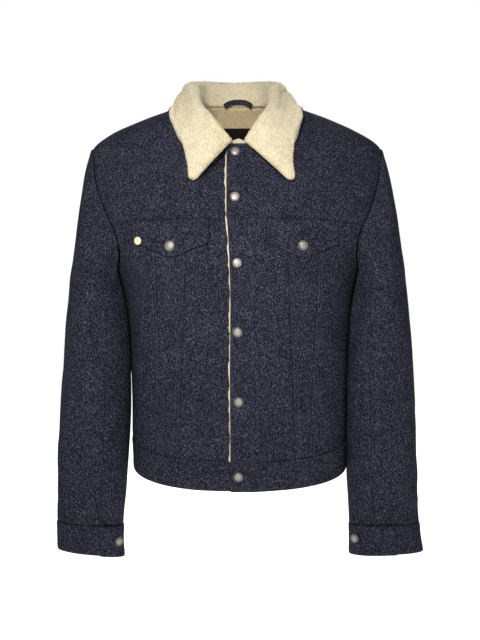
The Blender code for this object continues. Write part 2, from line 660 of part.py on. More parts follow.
def cuff_surface(side, angle, part):
    """Places on the cuff's body; part is 0 at its seam and 1 at its end."""
    c = np.cos(np.radians(angle))
    top = CUFF_SEAM + CUFF_TILT[side] / 2 * c
    end = CUFF_END + CUFF_TILT[side] * c
    return sleeve_section(side, angle, top + part * (end - top))


def cuff(side, word):
    """A band round the sleeve's end; its upper end lies on its lower one."""
    angle = CUFF_EDGE[side] + np.linspace(0, 360 + CUFF_LAP, 25)[:, None]
    part = np.array([0.0, 0.5, 1.0])[None]
    points = cuff_surface(side, angle, part)
    ahead, behind = cuff_surface(side, angle + 2, part), cuff_surface(side, angle - 2, part)
    normals = unit(np.cross(ahead - behind, np.gradient(points, axis=1)))
    points = points + cuff_rise(side, angle, part)[..., None] * normals
    strip(f"cuff_{word}", points, normals, side, BAND, denim())


def cuff_rise(side, angle, part):
    """How far the cuff stands off the sleeve's surface: more where its upper end lies on its lower one, and
    falling faster beside its seam, at part 0, than at its free edge, at part 1."""
    fade = CUFF_FADE[0] + (CUFF_FADE[1] - CUFF_FADE[0]) * part
    return CUFF_PROUD + CUFF_LAP_RISE * (1 - ramp(angle - CUFF_EDGE[side], CUFF_LAP, CUFF_LAP + fade))


# ---------------------------------------------------------------- collar

def collar_paths():
    """Visible face of the collar: columns from the right front round the back to the left front, rows from the
    neck seam up the stand, round the roll and down the fall."""
    stations = np.linspace(0, 1, len(COLLAR["turn"]))
    at = np.linspace(0, 1, COLLAR_COLUMNS + 1)
    sizes = {name: smooth(at, stations, values) for name, values in COLLAR.items()}
    edge = {name: smooth(at, COLLAR_EDGE["at"], values) for name, values in COLLAR_EDGE.items()}
    seam = body_point(sizes["turn"], neck_height(sizes["turn"]))
    roll = np.stack([sizes["roll_x"], sizes["roll_y"], sizes["roll_z"]], axis=-1)
    thick = np.minimum(COLLAR_PILE, sizes["radius"] - ROLL_CORE)
    lift = (thick + SEAM + UNDER_COLLAR + edge["clear"])[:, None]
    hem = body_point(edge["turn"], edge["z"])
    hem = hem + lift * body_normal(edge["turn"], edge["z"])
    radius = sizes["radius"][:, None]
    along = np.gradient(roll, axis=0)
    along[-1] = (-1, 0, 0)
    up = np.array([0.0, 0.0, 1.0])
    out = unit(np.cross(up, along) * -1)
    rise = unit(np.cross(along, out) * -1)
    rise *= np.sign(rise[:, 2:])
    centre = roll - radius * rise
    rows = []
    inside = centre - radius * out
    foot = seam - COLLAR_INSIDE * ramp(at, 0, 0.3)[:, None] * out
    lean = unit(inside - foot)
    sink = thick * np.maximum(0, np.sum(lean * out, axis=-1))
    rise_front, rise_back = COLLAR_FOOT
    foot = foot + (rise_front + (rise_back - rise_front) * ramp(at, 0.4, 0.7) + sink)[:, None] * up
    for s in COLLAR_STAND:
        rows.append(foot + s * (inside - foot))
    for angle in COLLAR_ROLL:
        a = np.radians(angle)
        rows.append(centre - radius * (np.cos(a) * out - np.sin(a) * rise))
    outside = centre + radius * out
    bulge = (COLLAR_BULGE[1] + (COLLAR_BULGE[0] - COLLAR_BULGE[1]) * (1 - ramp(at, 0, 0.62)))[:, None]
    for s in np.linspace(0, 1, COLLAR_FALL):
        rows.append(outside + s * (hem - outside) + bulge * np.sin(np.pi * s) * out)
    half = np.stack(rows, axis=1)
    mirrored = half * (-1, 1, 1)
    both = np.concatenate([mirrored, half[-2::-1]])
    both[..., 0] += smooth(both[..., 2], COLLAR_LEAN["z"], COLLAR_LEAN["x"])
    return both, np.concatenate([thick, thick[-2::-1]])


def sheet_normals(points):
    """Normals of an open grid, from the differences along its columns and rows."""
    return unit(np.cross(np.gradient(points, axis=0), np.gradient(points, axis=1)))


def collar():
    """Upper collar of pile, and the under collar of shell cloth beneath its fall."""
    points, thick = collar_paths()
    normals = sheet_normals(points)
    inner = points - thick[:, None, None] * normals
    below = slice(UNDER_COLLAR_INSET, -UNDER_COLLAR_INSET), slice(FALL_ROW, None)
    under = (inner - SEAM * normals)[below]
    points[:, -1] -= COLLAR_ROUND * normals[:, -1]
    wall("upper_collar", points, inner, sherpa())
    wall("under_collar", under, under - UNDER_COLLAR * normals[below], denim())


# ---------------------------------------------------------------- flaps and hardware

def flap(side, word):
    """Pocket flap from the yoke seam down to its point, lying on the panels."""
    corners = np.array(FLAPS[side], float)
    x = np.concatenate([np.linspace(corners[0, 0], corners[1, 0], 4), np.linspace(corners[1, 0], corners[2, 0], 4)[1:]])
    low_z = np.interp(side * x, side * corners[:, 0], corners[:, 1])
    top_z = yoke_height(x) - 0.5
    part = np.linspace(0, 1, 4)[None]
    z = low_z[:, None] + part * (top_z - low_z)[:, None]
    grid = places(turn_at_x(x[:, None] + 0 * z, z), z)
    rise = lap_rise(1)
    body_wall(f"pocket_flap_{word}", outward(grid, side), FLAP, denim(),
              lambda points: rise(points) * (side > 0) + FLAP + FLAP_GAP, gap=0.0)


def button(name, place, normal, size, finish):
    """A domed cap: a profile turned about its axis, its foot at the place given."""
    radius, height = size
    mesh = bpy.data.meshes.new(name)
    points = [(r * radius * MM, 0.0, h * height * MM) for r, h in CAP]
    mesh.from_pydata(points, [(i, i + 1) for i in range(len(points) - 1)], [])
    piece = bpy.data.objects.new(name, mesh)
    bpy.data.collections[GARMENT].objects.link(piece)
    screw = piece.modifiers.new("Turned", "SCREW")
    screw.steps = screw.render_steps = CAP_STEPS
    screw.use_merge_vertices = True
    screw.merge_threshold = 0.00001
    screw.use_normal_calculate = True
    mesh.materials.append(finish)
    piece.location = [float(v) * MM for v in place]
    piece.rotation_mode = "QUATERNION"
    piece.rotation_quaternion = Vector(normal).to_track_quat("Z", "Y")
    return piece


def on_front(x, z, outside):
    """A place this far outside the front's surface, and the normal there."""
    turn = turn_at_x(np.array(x, float), np.array(z, float))
    normal = body_normal(turn, np.array(z, float))
    return body_point(turn, np.array(z, float)) + outside * normal, normal


def hardware():
    pewter = material("aged_pewter", (0.16, 0.14, 0.12), 0.38, 1.0)
    pale = material("pale_brass", (0.85, 0.82, 0.55), 0.3, 1.0)
    for number, (x, z) in enumerate(FRONT_SNAPS, 1):
        button(f"front_snap_{number}", *on_front(x, z, LAP_RISE + SEAM), SNAP, pewter)
    button("front_snap_6", *on_front(*BAND_SNAP, BAND_PROUD + BAND_LAP_RISE + SEAM), SNAP, pewter)
    on_flap = FLAP + FLAP_GAP + SEAM
    for side, word in ((1, "left"), (-1, "right")):
        button(f"flap_snap_{word}", *on_front(*FLAP_SNAPS[side], on_flap), FLAP_SNAP, pewter)
        cuff_snap(side, word, pewter)
    button("flap_rivet", *on_front(*RIVET_PLACE, on_flap), RIVET, pale)


def cuff_snap(side, word, finish):
    """Snap on the cuff's upper end, where its x and height say."""
    x, z = CUFF_SNAPS[side]
    angles = np.linspace(*CUFF_SNAP_SEARCH)
    part = (z - CUFF_SEAM) / (CUFF_END - CUFF_SEAM)
    choices = cuff_surface(side, angles, part)
    angle = angles[np.argmin(np.abs(choices[:, 0] - abs(x)))]
    place = cuff_surface(side, angle, part)
    around = cuff_surface(side, angle + 2, part) - cuff_surface(side, angle - 2, part)
    down = cuff_surface(side, angle, part + 0.1) - cuff_surface(side, angle, part - 0.1)
    normal = unit(np.cross(around, down))
    place = place + (cuff_rise(side, angle, part) + CUFF_SNAP_GAP[side]) * normal
    flip = np.array([side, 1, 1])
    button(f"cuff_snap_{word}", place * flip, normal * flip, SNAP, finish)


def neck_details():
    """Hanger loop and blank label inside the back of the neck."""
    inside = -SHELL - LINING_GAP - PILE - LABEL["off"]
    x, z = np.meshgrid(np.linspace(*LABEL["x"], 7), np.linspace(*LABEL["z"], 4), indexing="ij")
    label = material("dark_label", (0.02, 0.008, 0.006), 0.7)
    body_wall("neck_label", places(turn_at_x(x, z, back=True), z), LABEL["thick"], label, inside, gap=0.0)
    s = np.linspace(-1, 1, 11)
    seam = body_point(np.array(180.0), neck_height(180.0))
    x = LOOP["half_span"] * s + LOOP["x"]
    y = seam[1] - LOOP["off"] - x ** 2 / 120
    middle = np.stack([x, y, LOOP["foot"] + LOOP["rise"] * np.sqrt(1 - 0.98 * s * s)], axis=-1)
    lean = 0.55 * s
    across = np.stack([lean, 0 * s, np.sqrt(1 - lean ** 2)], -1) * LOOP["width"] / 2
    outer = np.stack([middle - across, middle + across], axis=1)
    wall("hanger_loop", outer, outer + (0, LOOP["depth"], 0), denim())


def main():
    for old in list(bpy.data.objects):
        bpy.data.objects.remove(old)
    collection = bpy.data.collections.get(GARMENT) or bpy.data.collections.new(GARMENT)
    if collection.name not in bpy.context.scene.collection.children:
        bpy.context.scene.collection.children.link(collection)
    low_left = front(1, "left")
    low_right = front(-1, "right")
    low_back = back()
    waistband(joined(low_left, low_back, low_right[::-1] + (360, 0)))
    for side, word in ((1, "left"), (-1, "right")):
        sleeve(side, word)
        flap(side, word)
    collar()
    neck_details()
    hardware()


main()
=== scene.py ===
"""Sherpa lined jacket: fine cloth, pile, stitching and snaps over the jacket's solids.

Lengths in the tables are millimetres; a mesh gets metres. X runs to the wearer's left, the front faces -Y.
The body is one surface of stacked rounded rings. A place on it is (turn, z): turn is in degrees round
from the centre front, 90 at the left side seam and 180 at the centre back. Every piece is a grid on such
a surface.
"""

import functools

import bpy
import numpy as np
from bpy.props import FloatProperty, FloatVectorProperty, IntProperty, PointerProperty
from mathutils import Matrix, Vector


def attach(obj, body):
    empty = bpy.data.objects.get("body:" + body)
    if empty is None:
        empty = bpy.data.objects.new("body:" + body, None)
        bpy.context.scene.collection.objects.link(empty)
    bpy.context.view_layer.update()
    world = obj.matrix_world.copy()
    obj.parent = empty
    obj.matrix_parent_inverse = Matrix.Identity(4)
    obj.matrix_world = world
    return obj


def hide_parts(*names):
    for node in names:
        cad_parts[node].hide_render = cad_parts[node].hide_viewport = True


bl_info = {
    "name": "Sherpa lined jacket",
    "version": (1, 0, 0),
    "blender": (4, 5, 0),
    "location": "View3D > Sidebar > Jacket",
    "description": "Makes a snap-front jacket of flecked cloth with a pile collar and lining",
    "category": "Add Mesh",
}

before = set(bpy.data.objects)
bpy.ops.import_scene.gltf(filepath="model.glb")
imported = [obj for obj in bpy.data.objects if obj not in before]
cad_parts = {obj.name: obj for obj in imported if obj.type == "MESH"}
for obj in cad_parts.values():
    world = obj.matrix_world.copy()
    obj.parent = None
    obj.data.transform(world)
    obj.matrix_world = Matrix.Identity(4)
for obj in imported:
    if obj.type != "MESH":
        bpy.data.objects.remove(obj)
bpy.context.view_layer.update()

MM = 0.001
FINE = 6               # fine steps for each row and column of the plain solids' grids
SIDES = ((1, "left"), (-1, "right"))
ROUND = (360, 0)       # the same place, once round the body

# Walls and gaps
SHELL, BAND, FLAP, PILE, COLLAR_PILE = 2.0, 3.4, 2.6, 5.5, 9.0
SEAM, LINING_GAP, LAP_GAP, FLAP_GAP = 0.3, 0.8, 1.0, 0.6

# Heights of the yoke seams and of the hem
YOKE_FRONT, YOKE_FRONT_SIDE, YOKE_BACK = -173.0, -181.0, -168.0
HEM_SIDE, HEM_FRONT_DIP, HEM_BACK_DIP = -571.0, 28.0, 14.0
BAND_HEIGHT, BAND_ROWS = 47.0, 12

# Front overlap
LAP_EDGE = {"z": (-600, -420, -260, -195, -160, -60), "x": (-9.5, -10.5, -10.5, -13.5, -16, -16)}
UNDERLAP_EDGE, UNDERLAP_START = 22.0, -30.0
PILE_SHOWS, LAP_RISE, LAP_FADE, BAND_LAP_RISE, BAND_PROUD = 3.4, 3.0, 42.0, 2.6, 0.8
UNDERLAP = -(SHELL + PILE + LINING_GAP + LAP_GAP - LAP_RISE)

# Slanting seams: x at the yoke and at the waistband
FRONT_SEAMS, BACK_SEAM = ((76.0, 92.0), (130.0, 113.0)), (98.0, 66.0)

# Rows and columns of the plain grids
YOKE_ROWS, PANEL_ROWS, LOOP_POINTS = 6, 15, 20
MIDDLE_COLUMNS, SIDE_COLUMNS, BACK_COLUMNS, BACK_SIDE_COLUMNS, SHOULDER_COLUMNS = 3, 4, 6, 4, 5
FRONT_YOKE_LOOP, UNDERARM_LOOP, BACK_YOKE_LOOP = 6, 10, 15

BODY = {
    "z":     (-610, -575, -520, -440, -356, -300, -255, -207, -167, -128, -95, -75, -62, -52, -42, -32, -23,
              -13, -3, 3, 9, 14, 20),
    "half":  (171, 172, 174, 175, 178, 184, 195, 213, 227, 234, 236, 235, 231, 222, 208, 190, 170,
              146, 118, 101, 83, 68, 54),
    "front": (112, 117, 126, 134, 139, 142, 142, 138, 130, 118, 104, 95, 89, 85, 81, 77, 73,
              70, 67, 65, 62, 59, 55),
    "back":  (118, 121, 125, 128, 131, 133, 135, 135, 131, 122, 111, 104, 99, 95, 90, 85, 81,
              77, 72, 69, 66, 63, 59),
    "power": (2.35, 2.35, 2.35, 2.35, 2.4, 2.4, 2.4, 2.4, 2.35, 2.3, 2.25, 2.2, 2.2, 2.15, 2.15, 2.1, 2.1,
              2.1, 2.1, 2.1, 2.1, 2.1, 2.1),
    "middle": (5, 5, 5, 5, 4.5, 3.5, 2.5, 1.5, 1, 0, 0, 0, 0, 0, 0, 0, 0,
               0, 0, 0, 0, 0, 0),
}

# Creases: place across and height of the middle, slant off level, half length, half width, swell.
# The broad ones are those of the solids; the fine ones are this cloth's own.
FRONT_FOLDS = {
    "across": (72, 104, -78, 62, -92),
    "z":      (-486, -470, -318, -312, -470),
    "slant":  (-69, -72, -20, 15, 74),
    "length": (60, 62, 46, 42, 60),
    "width":  (14, 16, 15, 16, 16),
    "swell":  (-2.6, 1.8, -1.8, 1.5, 1.8),
}
BACK_FOLDS = {
    "across": (-60, 66, -20),
    "z":      (-330, -400, -480),
    "slant":  (24, -28, 70),
    "length": (60, 60, 50),
    "width":  (17, 17, 16),
    "swell":  (2.4, -2.4, 2.0),
}
FRONT_CREASES = {
    "across": (176, -176, 150, 140, -150, -146, 60, -70, 86, -30, 42, -120, -52, 118, 30, -96, 132, -138,
               -64, 52),
    "z":      (-262, -262, -236, -300, -240, -310, -262, -270, -430, -400, -520, -516, -350, -380, -352,
               -200, -480, -430, -560, -160),
    "slant":  (84, -84, 52, 66, -50, -64, -14, 12, -62, 22, -66, 58, 34, -40, -22, -30, -76, 74, 10, 20),
    "length": (70, 70, 44, 52, 46, 50, 40, 42, 38, 44, 30, 34, 46, 40, 36, 30, 44, 42, 30, 30),
    "width":  (12, 12, 7, 8, 7, 8, 9, 9, 7, 9, 6, 7, 9, 8, 8, 8, 7, 7, 7, 9),
    "swell":  (-2.6, -2.8, -1.3, 1.2, -1.4, 1.2, 0.8, 0.8, 1.1, -0.8, -1.0, 1.0, 0.7, -0.9, 0.7, 0.7,
               -1.1, 1.0, 0.6, 0.6),
}
BACK_CREASES = {
    "across": (150, -152, 120, -118, 40, -50, 20, -90, 96, -30, 70, -110),
    "z":      (-220, -230, -300, -290, -240, -262, -360, -420, -450, -520, -540, -500),
    "slant":  (-50, 52, -60, 58, 12, -16, 24, -30, 34, -60, 62, -66),
    "length": (44, 46, 46, 44, 52, 50, 48, 44, 46, 36, 34, 38),
    "width":  (8, 8, 9, 9, 9, 9, 10, 9, 9, 8, 8, 8),
    "swell":  (-1.4, -1.4, 1.3, 1.2, 1.0, 0.9, -1.0, 1.1, -1.1, 1.0, -1.0, 1.0),
}

ARMHOLE = {
    "angle": (0, 30, 60, 90, 120, 150, 180, 210, 240, 270, 300, 330),
    "y":     (0, -27, -43, -61, -76, -60, 0, 52, 74, 70, 56, 33),
    "z":     (-62, -80, -119, -157, -200, -241, -255, -243, -204, -160, -119, -82),
}
CENTRE_SPREAD = {1: (0, 0.2, 0.4, 0.65, 1), -1: (0, 0.22, 0.43, 0.71, 1)}
NECK_START = {1: (LAP_EDGE["x"][-1], 4.0, 17.0), -1: (UNDERLAP_EDGE, 0.0, -18.0)}
NECK_TURNS = (11, 24, 45, 89.9)
NECKLINE = {
    "turn": (1, 13, 24, 38, 55, 90, 135, 180),
    "z":    (-58, -36, -11, 0, 8, 14, 13, 12),
}

SLEEVE = {
    "z":     (-730, -667, -590, -512, -434, -356, -300, -250, -200),
    "outer": {-1: (287, 289, 288, 286, 281, 276, 271, 265, 258),
              1: (303, 294, 289, 287, 285, 280, 275, 269, 262)},
    "inner": {-1: (183, 183, 176.5, 171.5, 169, 168, 175, 188, 198),
              1: (182, 181, 177, 174, 172, 173, 178, 190, 199)},
    "front": (-60, -66, -78, -88, -92, -90, -87, -85, -84),
    "back":  (2, 6, 22, 40, 56, 68, 74, 78, 80),
}
SLEEVE_POWER, SLEEVE_CLEAR, SLEEVE_ROUND = 2.2, 1.6, 415.0
SLEEVE_ROWS_UPPER, SLEEVE_ROWS_LOWER = 8, 17
SLEEVE_SEAMS = (6, 14)
CAP_END, CAP_END_SWING = -262.0, 30.0      # the cap ends at this height, swinging round the arm
CAP_OUT, CAP_OUT_SWING = 0.48, 0.20        # it leaves its seam outward by this share, with this swing,
CAP_ASIDE = 0.0015                         # and sideways by this for each millimetre of y
CAP_HANDLES, CAP_CROWD = (0.11, 0.35), 1.25    # handles of its curve, and how its rows crowd to the seam
SLEEVE_FOLDS = {
    1: {
        "across": (148, 110, 58, 86, 28, 328, 276, 345),
        "z":      (-245, -255, -400, -430, -570, -330, -440, -560),
        "slant":  (84, 80, 72, -78, 30, -24, 20, -30),
        "length": (75, 70, 90, 70, 50, 60, 55, 55),
        "width":  (13, 17, 20, 15, 18, 18, 18, 18),
        "swell":  (-3.2, 2.6, 2.4, -2.4, 2.2, 3.0, -3.0, 2.6),
    },
    -1: {
        "across": (150, 92, 69, 104, 52, 322, 282, 345),
        "z":      (-225, -300, -455, -560, -545, -320, -455, -570),
        "slant":  (80, 82, 70, -70, 24, 24, -20, 26),
        "length": (65, 85, 60, 55, 50, 60, 55, 50),
        "width":  (13, 20, 18, 15, 19, 18, 18, 18),
        "swell":  (-3.0, 2.4, 2.6, -2.4, 2.0, 3.0, -2.8, 2.4),
    },
}
SLEEVE_CREASES = {
    1: {
        "across": (160, 120, 96, 60, 130, 90, 40, 70, 110, 20, 80, 300, 340, 260, 310, 280, 350, 30, 100),
        "z":      (-250, -300, -345, -380, -420, -470, -500, -540, -590, -620, -630, -300, -380, -400,
                   -460, -520, -600, -260, -645),
        "slant":  (86, 60, 28, -30, 66, 24, -34, 30, -40, 12, 8, 26, -30, 36, -22, 28, 10, -44, -6),
        "length": (90, 46, 40, 44, 50, 38, 42, 36, 38, 34, 32, 44, 42, 46, 40, 42, 34, 40, 30),
        "width":  (15, 8, 8, 9, 8, 8, 9, 8, 8, 7, 6, 9, 9, 9, 8, 9, 7, 9, 6),
        "swell":  (-3.2, -1.4, 1.1, 1.0, -1.3, 1.1, -1.0, 1.1, -1.0, 0.9, -0.9, 1.4, -1.3, 1.2, -1.2, 1.3,
                   -0.9, 1.0, 0.8),
    },
    -1: {
        "across": (160, 124, 100, 64, 128, 84, 44, 74, 106, 24, 86, 304, 338, 264, 306, 284, 352, 34, 96),
        "z":      (-250, -290, -350, -395, -435, -485, -515, -555, -600, -625, -640, -310, -370, -415,
                   -470, -530, -610, -250, -650),
        "slant":  (86, 62, -26, 32, 64, -28, 30, -32, 38, -14, 6, -28, 32, -34, 24, -26, -8, 46, 8),
        "length": (90, 44, 42, 42, 48, 40, 40, 38, 36, 34, 30, 46, 40, 44, 42, 40, 36, 42, 30),
        "width":  (15, 8, 9, 8, 8, 9, 8, 8, 8, 7, 6, 9, 9, 8, 9, 8, 7, 9, 6),
        "swell":  (-3.2, -1.3, 1.0, 1.1, -1.3, -1.1, 1.0, 1.0, -1.1, -0.9, 0.8, -1.3, 1.4, -1.2, 1.3,
                   -1.2, 0.9, 1.0, -0.8),
    },
}

CUFF_SEAM, CUFF_END = -661.0, -709.0
CUFF_TILT, CUFF_EDGE = {1: 2.0, -1: 6.0}, {1: 78.0, -1: 108.0}
CUFF_LAP, CUFF_PROUD, CUFF_LAP_RISE, CUFF_FADE = 34.0, 0.9, 4.0, (16.0, 60.0)
CUFF_COLUMNS, CUFF_ROWS = 24, 2
CUFF_SNAP_GAP, CUFF_SNAP_SEARCH = {1: 1.1, -1: 0.4}, (95, 175, 161)

COLLAR = {
    "turn":   (2, 11, 24, 45, 89, 125, 152, 180),
    "roll_x": (8.5, 33, 59, 63, 71.6, 61, 34, 0),
    "roll_y": (-99.5, -94, -70, -36, 2, 48, 74, 84),
    "roll_z": (-54, -20, 12, 36.8, 43.8, 51, 53, 52),
    "radius": (4.5, 8, 10, 11, 12, 12, 12, 12),
}
COLLAR_EDGE = {        # its outer edge on the body, at parts of its half length, and the space under it
    "at":    (0, 0.06, 0.143, 0.286, 0.43, 0.5, 0.58, 0.714, 0.857, 1),
    "turn":  (15.1, 17.1, 17.3, 20.5, 30.7, 42.6, 81, 145, 164, 180),
    "z":     (-119.5, -117.5, -98, -56, -26.5, -6.5, 7.5, -12, -30, -34),
    "clear": (2.0, 2.3, 3.0, 6.8, 10.2, 9.3, 4.8, 2.5, 1.5, 1.5),
}
COLLAR_BULGE, COLLAR_INSIDE, ROLL_CORE, COLLAR_FOOT = (7.0, 0.5), 8.0, 0.6, (0.8, -5.0)
COLLAR_TUCKS, COLLAR_LIFTS, COLLAR_FLATTENS = (0, 0.3), (0.4, 0.7), (0, 0.62)  # parts of its half length
COLLAR_COLUMNS, UNDER_COLLAR, UNDER_COLLAR_INSET = 12, 1.4, 2
COLLAR_LEAN = {"z": (-120, -89, -48, 0, 60), "x": (8.8, 5.4, 1.4, -1.9, -5.4)}
STAND_ROWS, ROLL_ROWS, FALL_ROWS = 3, 6, 6
COLLAR_FINE, COLLAR_ROW_FINE = 14, 7   # fine columns and rows for each plain one
COLLAR_INSET, COLLAR_CORNER = 0.4, 7.0         # its edge is drawn in; radius of its points
COLLAR_THINS, COLLAR_RIM = 2.6, (4.5, 4)       # it thins to its edge, outside and inside within these
COLLAR_LOCK, EDGE_LOCK, EDGE_LOCKS = 0.55, (1.8, 0.5), 2600    # width; length and width; how many
EDGE_THICKENS = 2.0                # the collar's locks crowd to its edge over this

LINING = {                         # the front's pile beside the top snap, above its cloth
    "rise": 5.8, "arch": 3.0,      # everywhere, and at the middle of the lap
    "arch_x": 3, "arch_half": 10,
    "x": 1, "fade": (8, 21),
}
FACING_SHOWS = (0.66, 0.42, 0.2)   # part of PILE_SHOWS that is seen: middle, swing and least
FACING_COLUMNS, FACING_WAVE = 7, 7     # fine columns of pile that lean out to it; size of its waves
PILE_INSET, PILE_CURLS = 0.5, (1.0, 1.2, 1.6)  # lining: drawn in; curls sink, tell and are this high
PILE_THINS = (1.6, 3.0)            # it thins by this, this near to its edges
BACK_PAINTED_SHADE = (0.82, 0.75, 0.63)    # painted shade: the back's pile is coloured darker and browner

SNAP, FLAP_SNAP, RIVET = (8.0, 3.6), (8.6, 3.8), (6.3, 2.0)
FRONT_SNAPS = ((-2.5, -72), (-2.8, -142), (0.5, -242), (1.1, -348), (2.8, -456))
BAND_SNAP = (2.5, -574)
FLAP_SNAPS = {1: (100.6, -215.5), -1: (-101.6, -216.2)}
CUFF_SNAPS = {1: (190.5, -682.0), -1: (-192.6, -684.0)}
RIVET_PLACE = (-151.3, -208.4)
FLAPS = {
    1: ((46, -211.5), (102, -236.5), (155.5, -213.5)),
    -1: ((-42.5, -210), (-101, -236), (-160, -208.5)),
}
FLAP_COLUMNS, FLAP_ROWS, FLAP_TOP = 24, 18, 0.5    # columns in each half; its top under the seam
FLAP_POINT = (2.2, 5.0)            # its point is cut short by this, over this half width
FLAP_PROUD, FLAP_CURL = 0.25, 0.44     # it stands up by this, and curls up by this at its free edge
FLAP_CURLS, FLAP_HELD = (-232, -196), 60   # heights between which the curl fades, and how near the snap
LABEL = {"x": (50.0, -48.0), "z": (-82.0, -20.0), "thick": 1.0, "off": 1.6}
LOOP = {"half_span": 22.0, "rise": 10.0, "width": 8.0, "depth": 1.5, "foot": 8.5, "x": 2.0, "off": 11.3,
        "bow": 120, "lean": 0.55, "cup": 0.5}

# The fine cloth
CLOTH_INSET = SEAM / 8         # a sewn edge keeps this far from the seam's middle
EDGE_ROLL, FELL_WIDTH, FELL_STEP = 0.5, 9.0, 1.5   # radius of an edge; a felled seam's width and slope
QUIET = 22                     # the cloth lies flat this near to a snap
LEAST_PART = 0.31              # a cut piece fills at least this part of its width by its length
SPOTS = [*FRONT_SNAPS, BAND_SNAP, *FLAP_SNAPS.values(), RIVET_PLACE]
ROWS_IN = {                    # rows of topstitching: how far in from their edge
    "placket": (2.2, 34.0), "front_edge": (2.2,), "front_yoke": (2.0, 7.6), "front_seam": (1.8, 7.4),
    "back_seam": (1.9, 7.5), "armhole": (2.0, 7.4), "sleeve_front": (1.9,), "sleeve_back": (1.9, 7.4),
    "band": (2.4,), "flap": (2.2, 8.0), "loop": (1.3,),
}
BEAD = {                       # a stitch: places along it, its girth and its rise, both in thread radii
    "at":    (0.0, 0.22, 0.5, 0.78, 1.0),
    "girth": (0.35, 0.9, 1.0, 0.9, 0.35),
    "rise":  (-0.5, 0.25, 0.4, 0.25, -0.5),
}
CAP_STEPS = 48
CAP_PROFILE = {                # a snap from its middle to its foot, in radii and heights
    "out":  (0, 0.18, 0.36, 0.52, 0.60, 0.66, 0.74, 0.83, 0.91, 0.97, 1.0, 0.985, 0.95, 0.90),
    "high": (0.98, 0.97, 0.92, 0.84, 0.76, 0.73, 0.80, 0.80, 0.72, 0.55, 0.34, 0.16, 0.05, 0.0),
}
METALS = {                     # roughness, tone of the tarnish, depth of the painted shade at the rim, share of metal
    "snap_metal":  (0.40, 0.6, 0.8, 1.0),
    "rivet_metal": (0.30, 0.9, 0.0, 0.35),
}
FLECKS = {                     # noise: scale, detail, roughness, stretch upright, where it starts and ends
    "dashes": (640, 1.5, 0.6, 0.55, 0.44, 0.72),
    "specks": (860, 1.0, 0.5, 0.8, 0.47, 0.76),
    "neps":   (600, 1.0, 0.4, 0.7, 0.63, 0.74),
}

UNEVEN = {                     # slight unevenness of cloth: swell, size, seed
    "broad": (0.55, 38, 5), "fine": (0.25, 15, 6), "sleeve": (0.7, 34, 21), "cuff": (0.35, 26, 40),
    "label": (0.25, 14, 71),
}
PUCKER = {"wave": 1.9, "sway": 1.3, "drift": 11.0, "beat": 27.0, "reach": 7}
CURLS = {                      # three sizes of curl: across, flattened upright
    "size": (2.9, 1.5, 11), "flat": (0.75, 0.8, 1), "share": (0.45, 0.25, 0.35),
}
LOCK = {                       # a loose lock of pile: four places along it and its width there
    "at": (0.0, 0.38, 0.72, 1.0), "wide": (1.0, 0.95, 0.7, 0.12),
    "length": (0.55, 1.15), "reach": (0.25, 0.9), "stray": 0.4, "droop": 0.5, "sinks": 0.45, "root": 0.4,
}
SEEDS = {
    "collar": 11, "locks": 31, "edge_locks": 32, "lean": 33, "front_pile": 50, "back_pile": 53,
    "facing": 55, "facing_locks": 61, "facing_lean": 62,
}

# The stage, in metres
FLOOR, FLOOR_HALF, FLOOR_GLOW = -0.86, 6.0, 0.88
SKY_LIGHT = 0.13               # strength of the white world as a light; the camera sees it at 1
LIGHTS = {                     # place, size, spread in degrees, power
    "key":  ((-0.5, -2.9, 1.0), 0.7, 26, 3.1),
    "fill": ((1.4, -2.9, 0.1), 1.6, 180, 8),
    "back": ((0.3, 2.6, 1.6), 1.8, 180, 54),
}
LIGHTS_AIM = (-0.03, 0, -0.2)
CAMERA, CAMERA_AIM = (0.005, -2.6, -0.2), (0.005, 0.0, -0.337)
VIEW_HEIGHT, SENSOR = 640 * 1.62 * MM, 24.0


# ---------------------------------------------------------------- sizes and colours a user may change

def length_setting(name, description, default, low, high):
    """A length that a user may change, given in millimetres."""
    return FloatProperty(name=name, description=description, default=default * MM, min=low * MM,
                         max=high * MM, unit="LENGTH", subtype="DISTANCE")


def colour_setting(name, description, default):
    """A colour that a user may change."""
    return FloatVectorProperty(name=name, description=description, default=default, size=3, min=0, max=1,
                               subtype="COLOR")


class JacketSizes(bpy.types.PropertyGroup):
    """Sizes of the stitching and the pile."""
    stitch_pitch: length_setting("Stitch pitch", "From one stitch to the next", 3.4, 0.5, 20)
    stitch_length: length_setting("Stitch length", "Thread that shows of each stitch", 2.5, 0.3, 15)
    thread: length_setting("Thread", "Radius of the sewing thread", 0.32, 0.05, 2)
    curl_height: length_setting("Curl height", "Depth of the pile's curls", 1.5, 0, 5)
    tuft_length: length_setting("Tuft length", "Length of a loose lock of pile", 2.6, 0, 8)
    tufts: IntProperty(name="Tufts", description="Loose locks on the collar", default=15000, min=100,
                       max=30000)


class JacketColours(bpy.types.PropertyGroup):
    """Colours of the cloth, the pile and the metal."""
    cloth: colour_setting("Cloth", "Ground colour of the shell cloth", (0.0052, 0.0056, 0.0105))
    fleck: colour_setting("Flecks", "Colour of the pale flecks", (0.094, 0.096, 0.132))
    pile: colour_setting("Pile", "Colour of the pile", (0.70, 0.635, 0.465))
    thread: colour_setting("Thread", "Colour of the sewing thread", (0.020, 0.021, 0.034))
    metal: colour_setting("Snaps", "Colour of the snaps", (0.46, 0.42, 0.39))
    rivet: colour_setting("Rivet", "Colour of the rivet", (0.85, 0.80, 0.52))


def sizes():
    """The sizes a user may change."""
    return bpy.context.scene.jacket_sizes


def colours():
    """The colours a user may change."""
    return bpy.context.scene.jacket_colours


# ---------------------------------------------------------------- curves and surfaces

def eased(s, low, high, low_slope, high_slope):
    """Cubic curve from low to high with these slopes at its ends; s runs from 0 to 1."""
    return ((1 + 2 * s) * (1 - s) ** 2 * low + s * (1 - s) ** 2 * low_slope
            + s * s * (3 - 2 * s) * high + s * s * (s - 1) * high_slope)


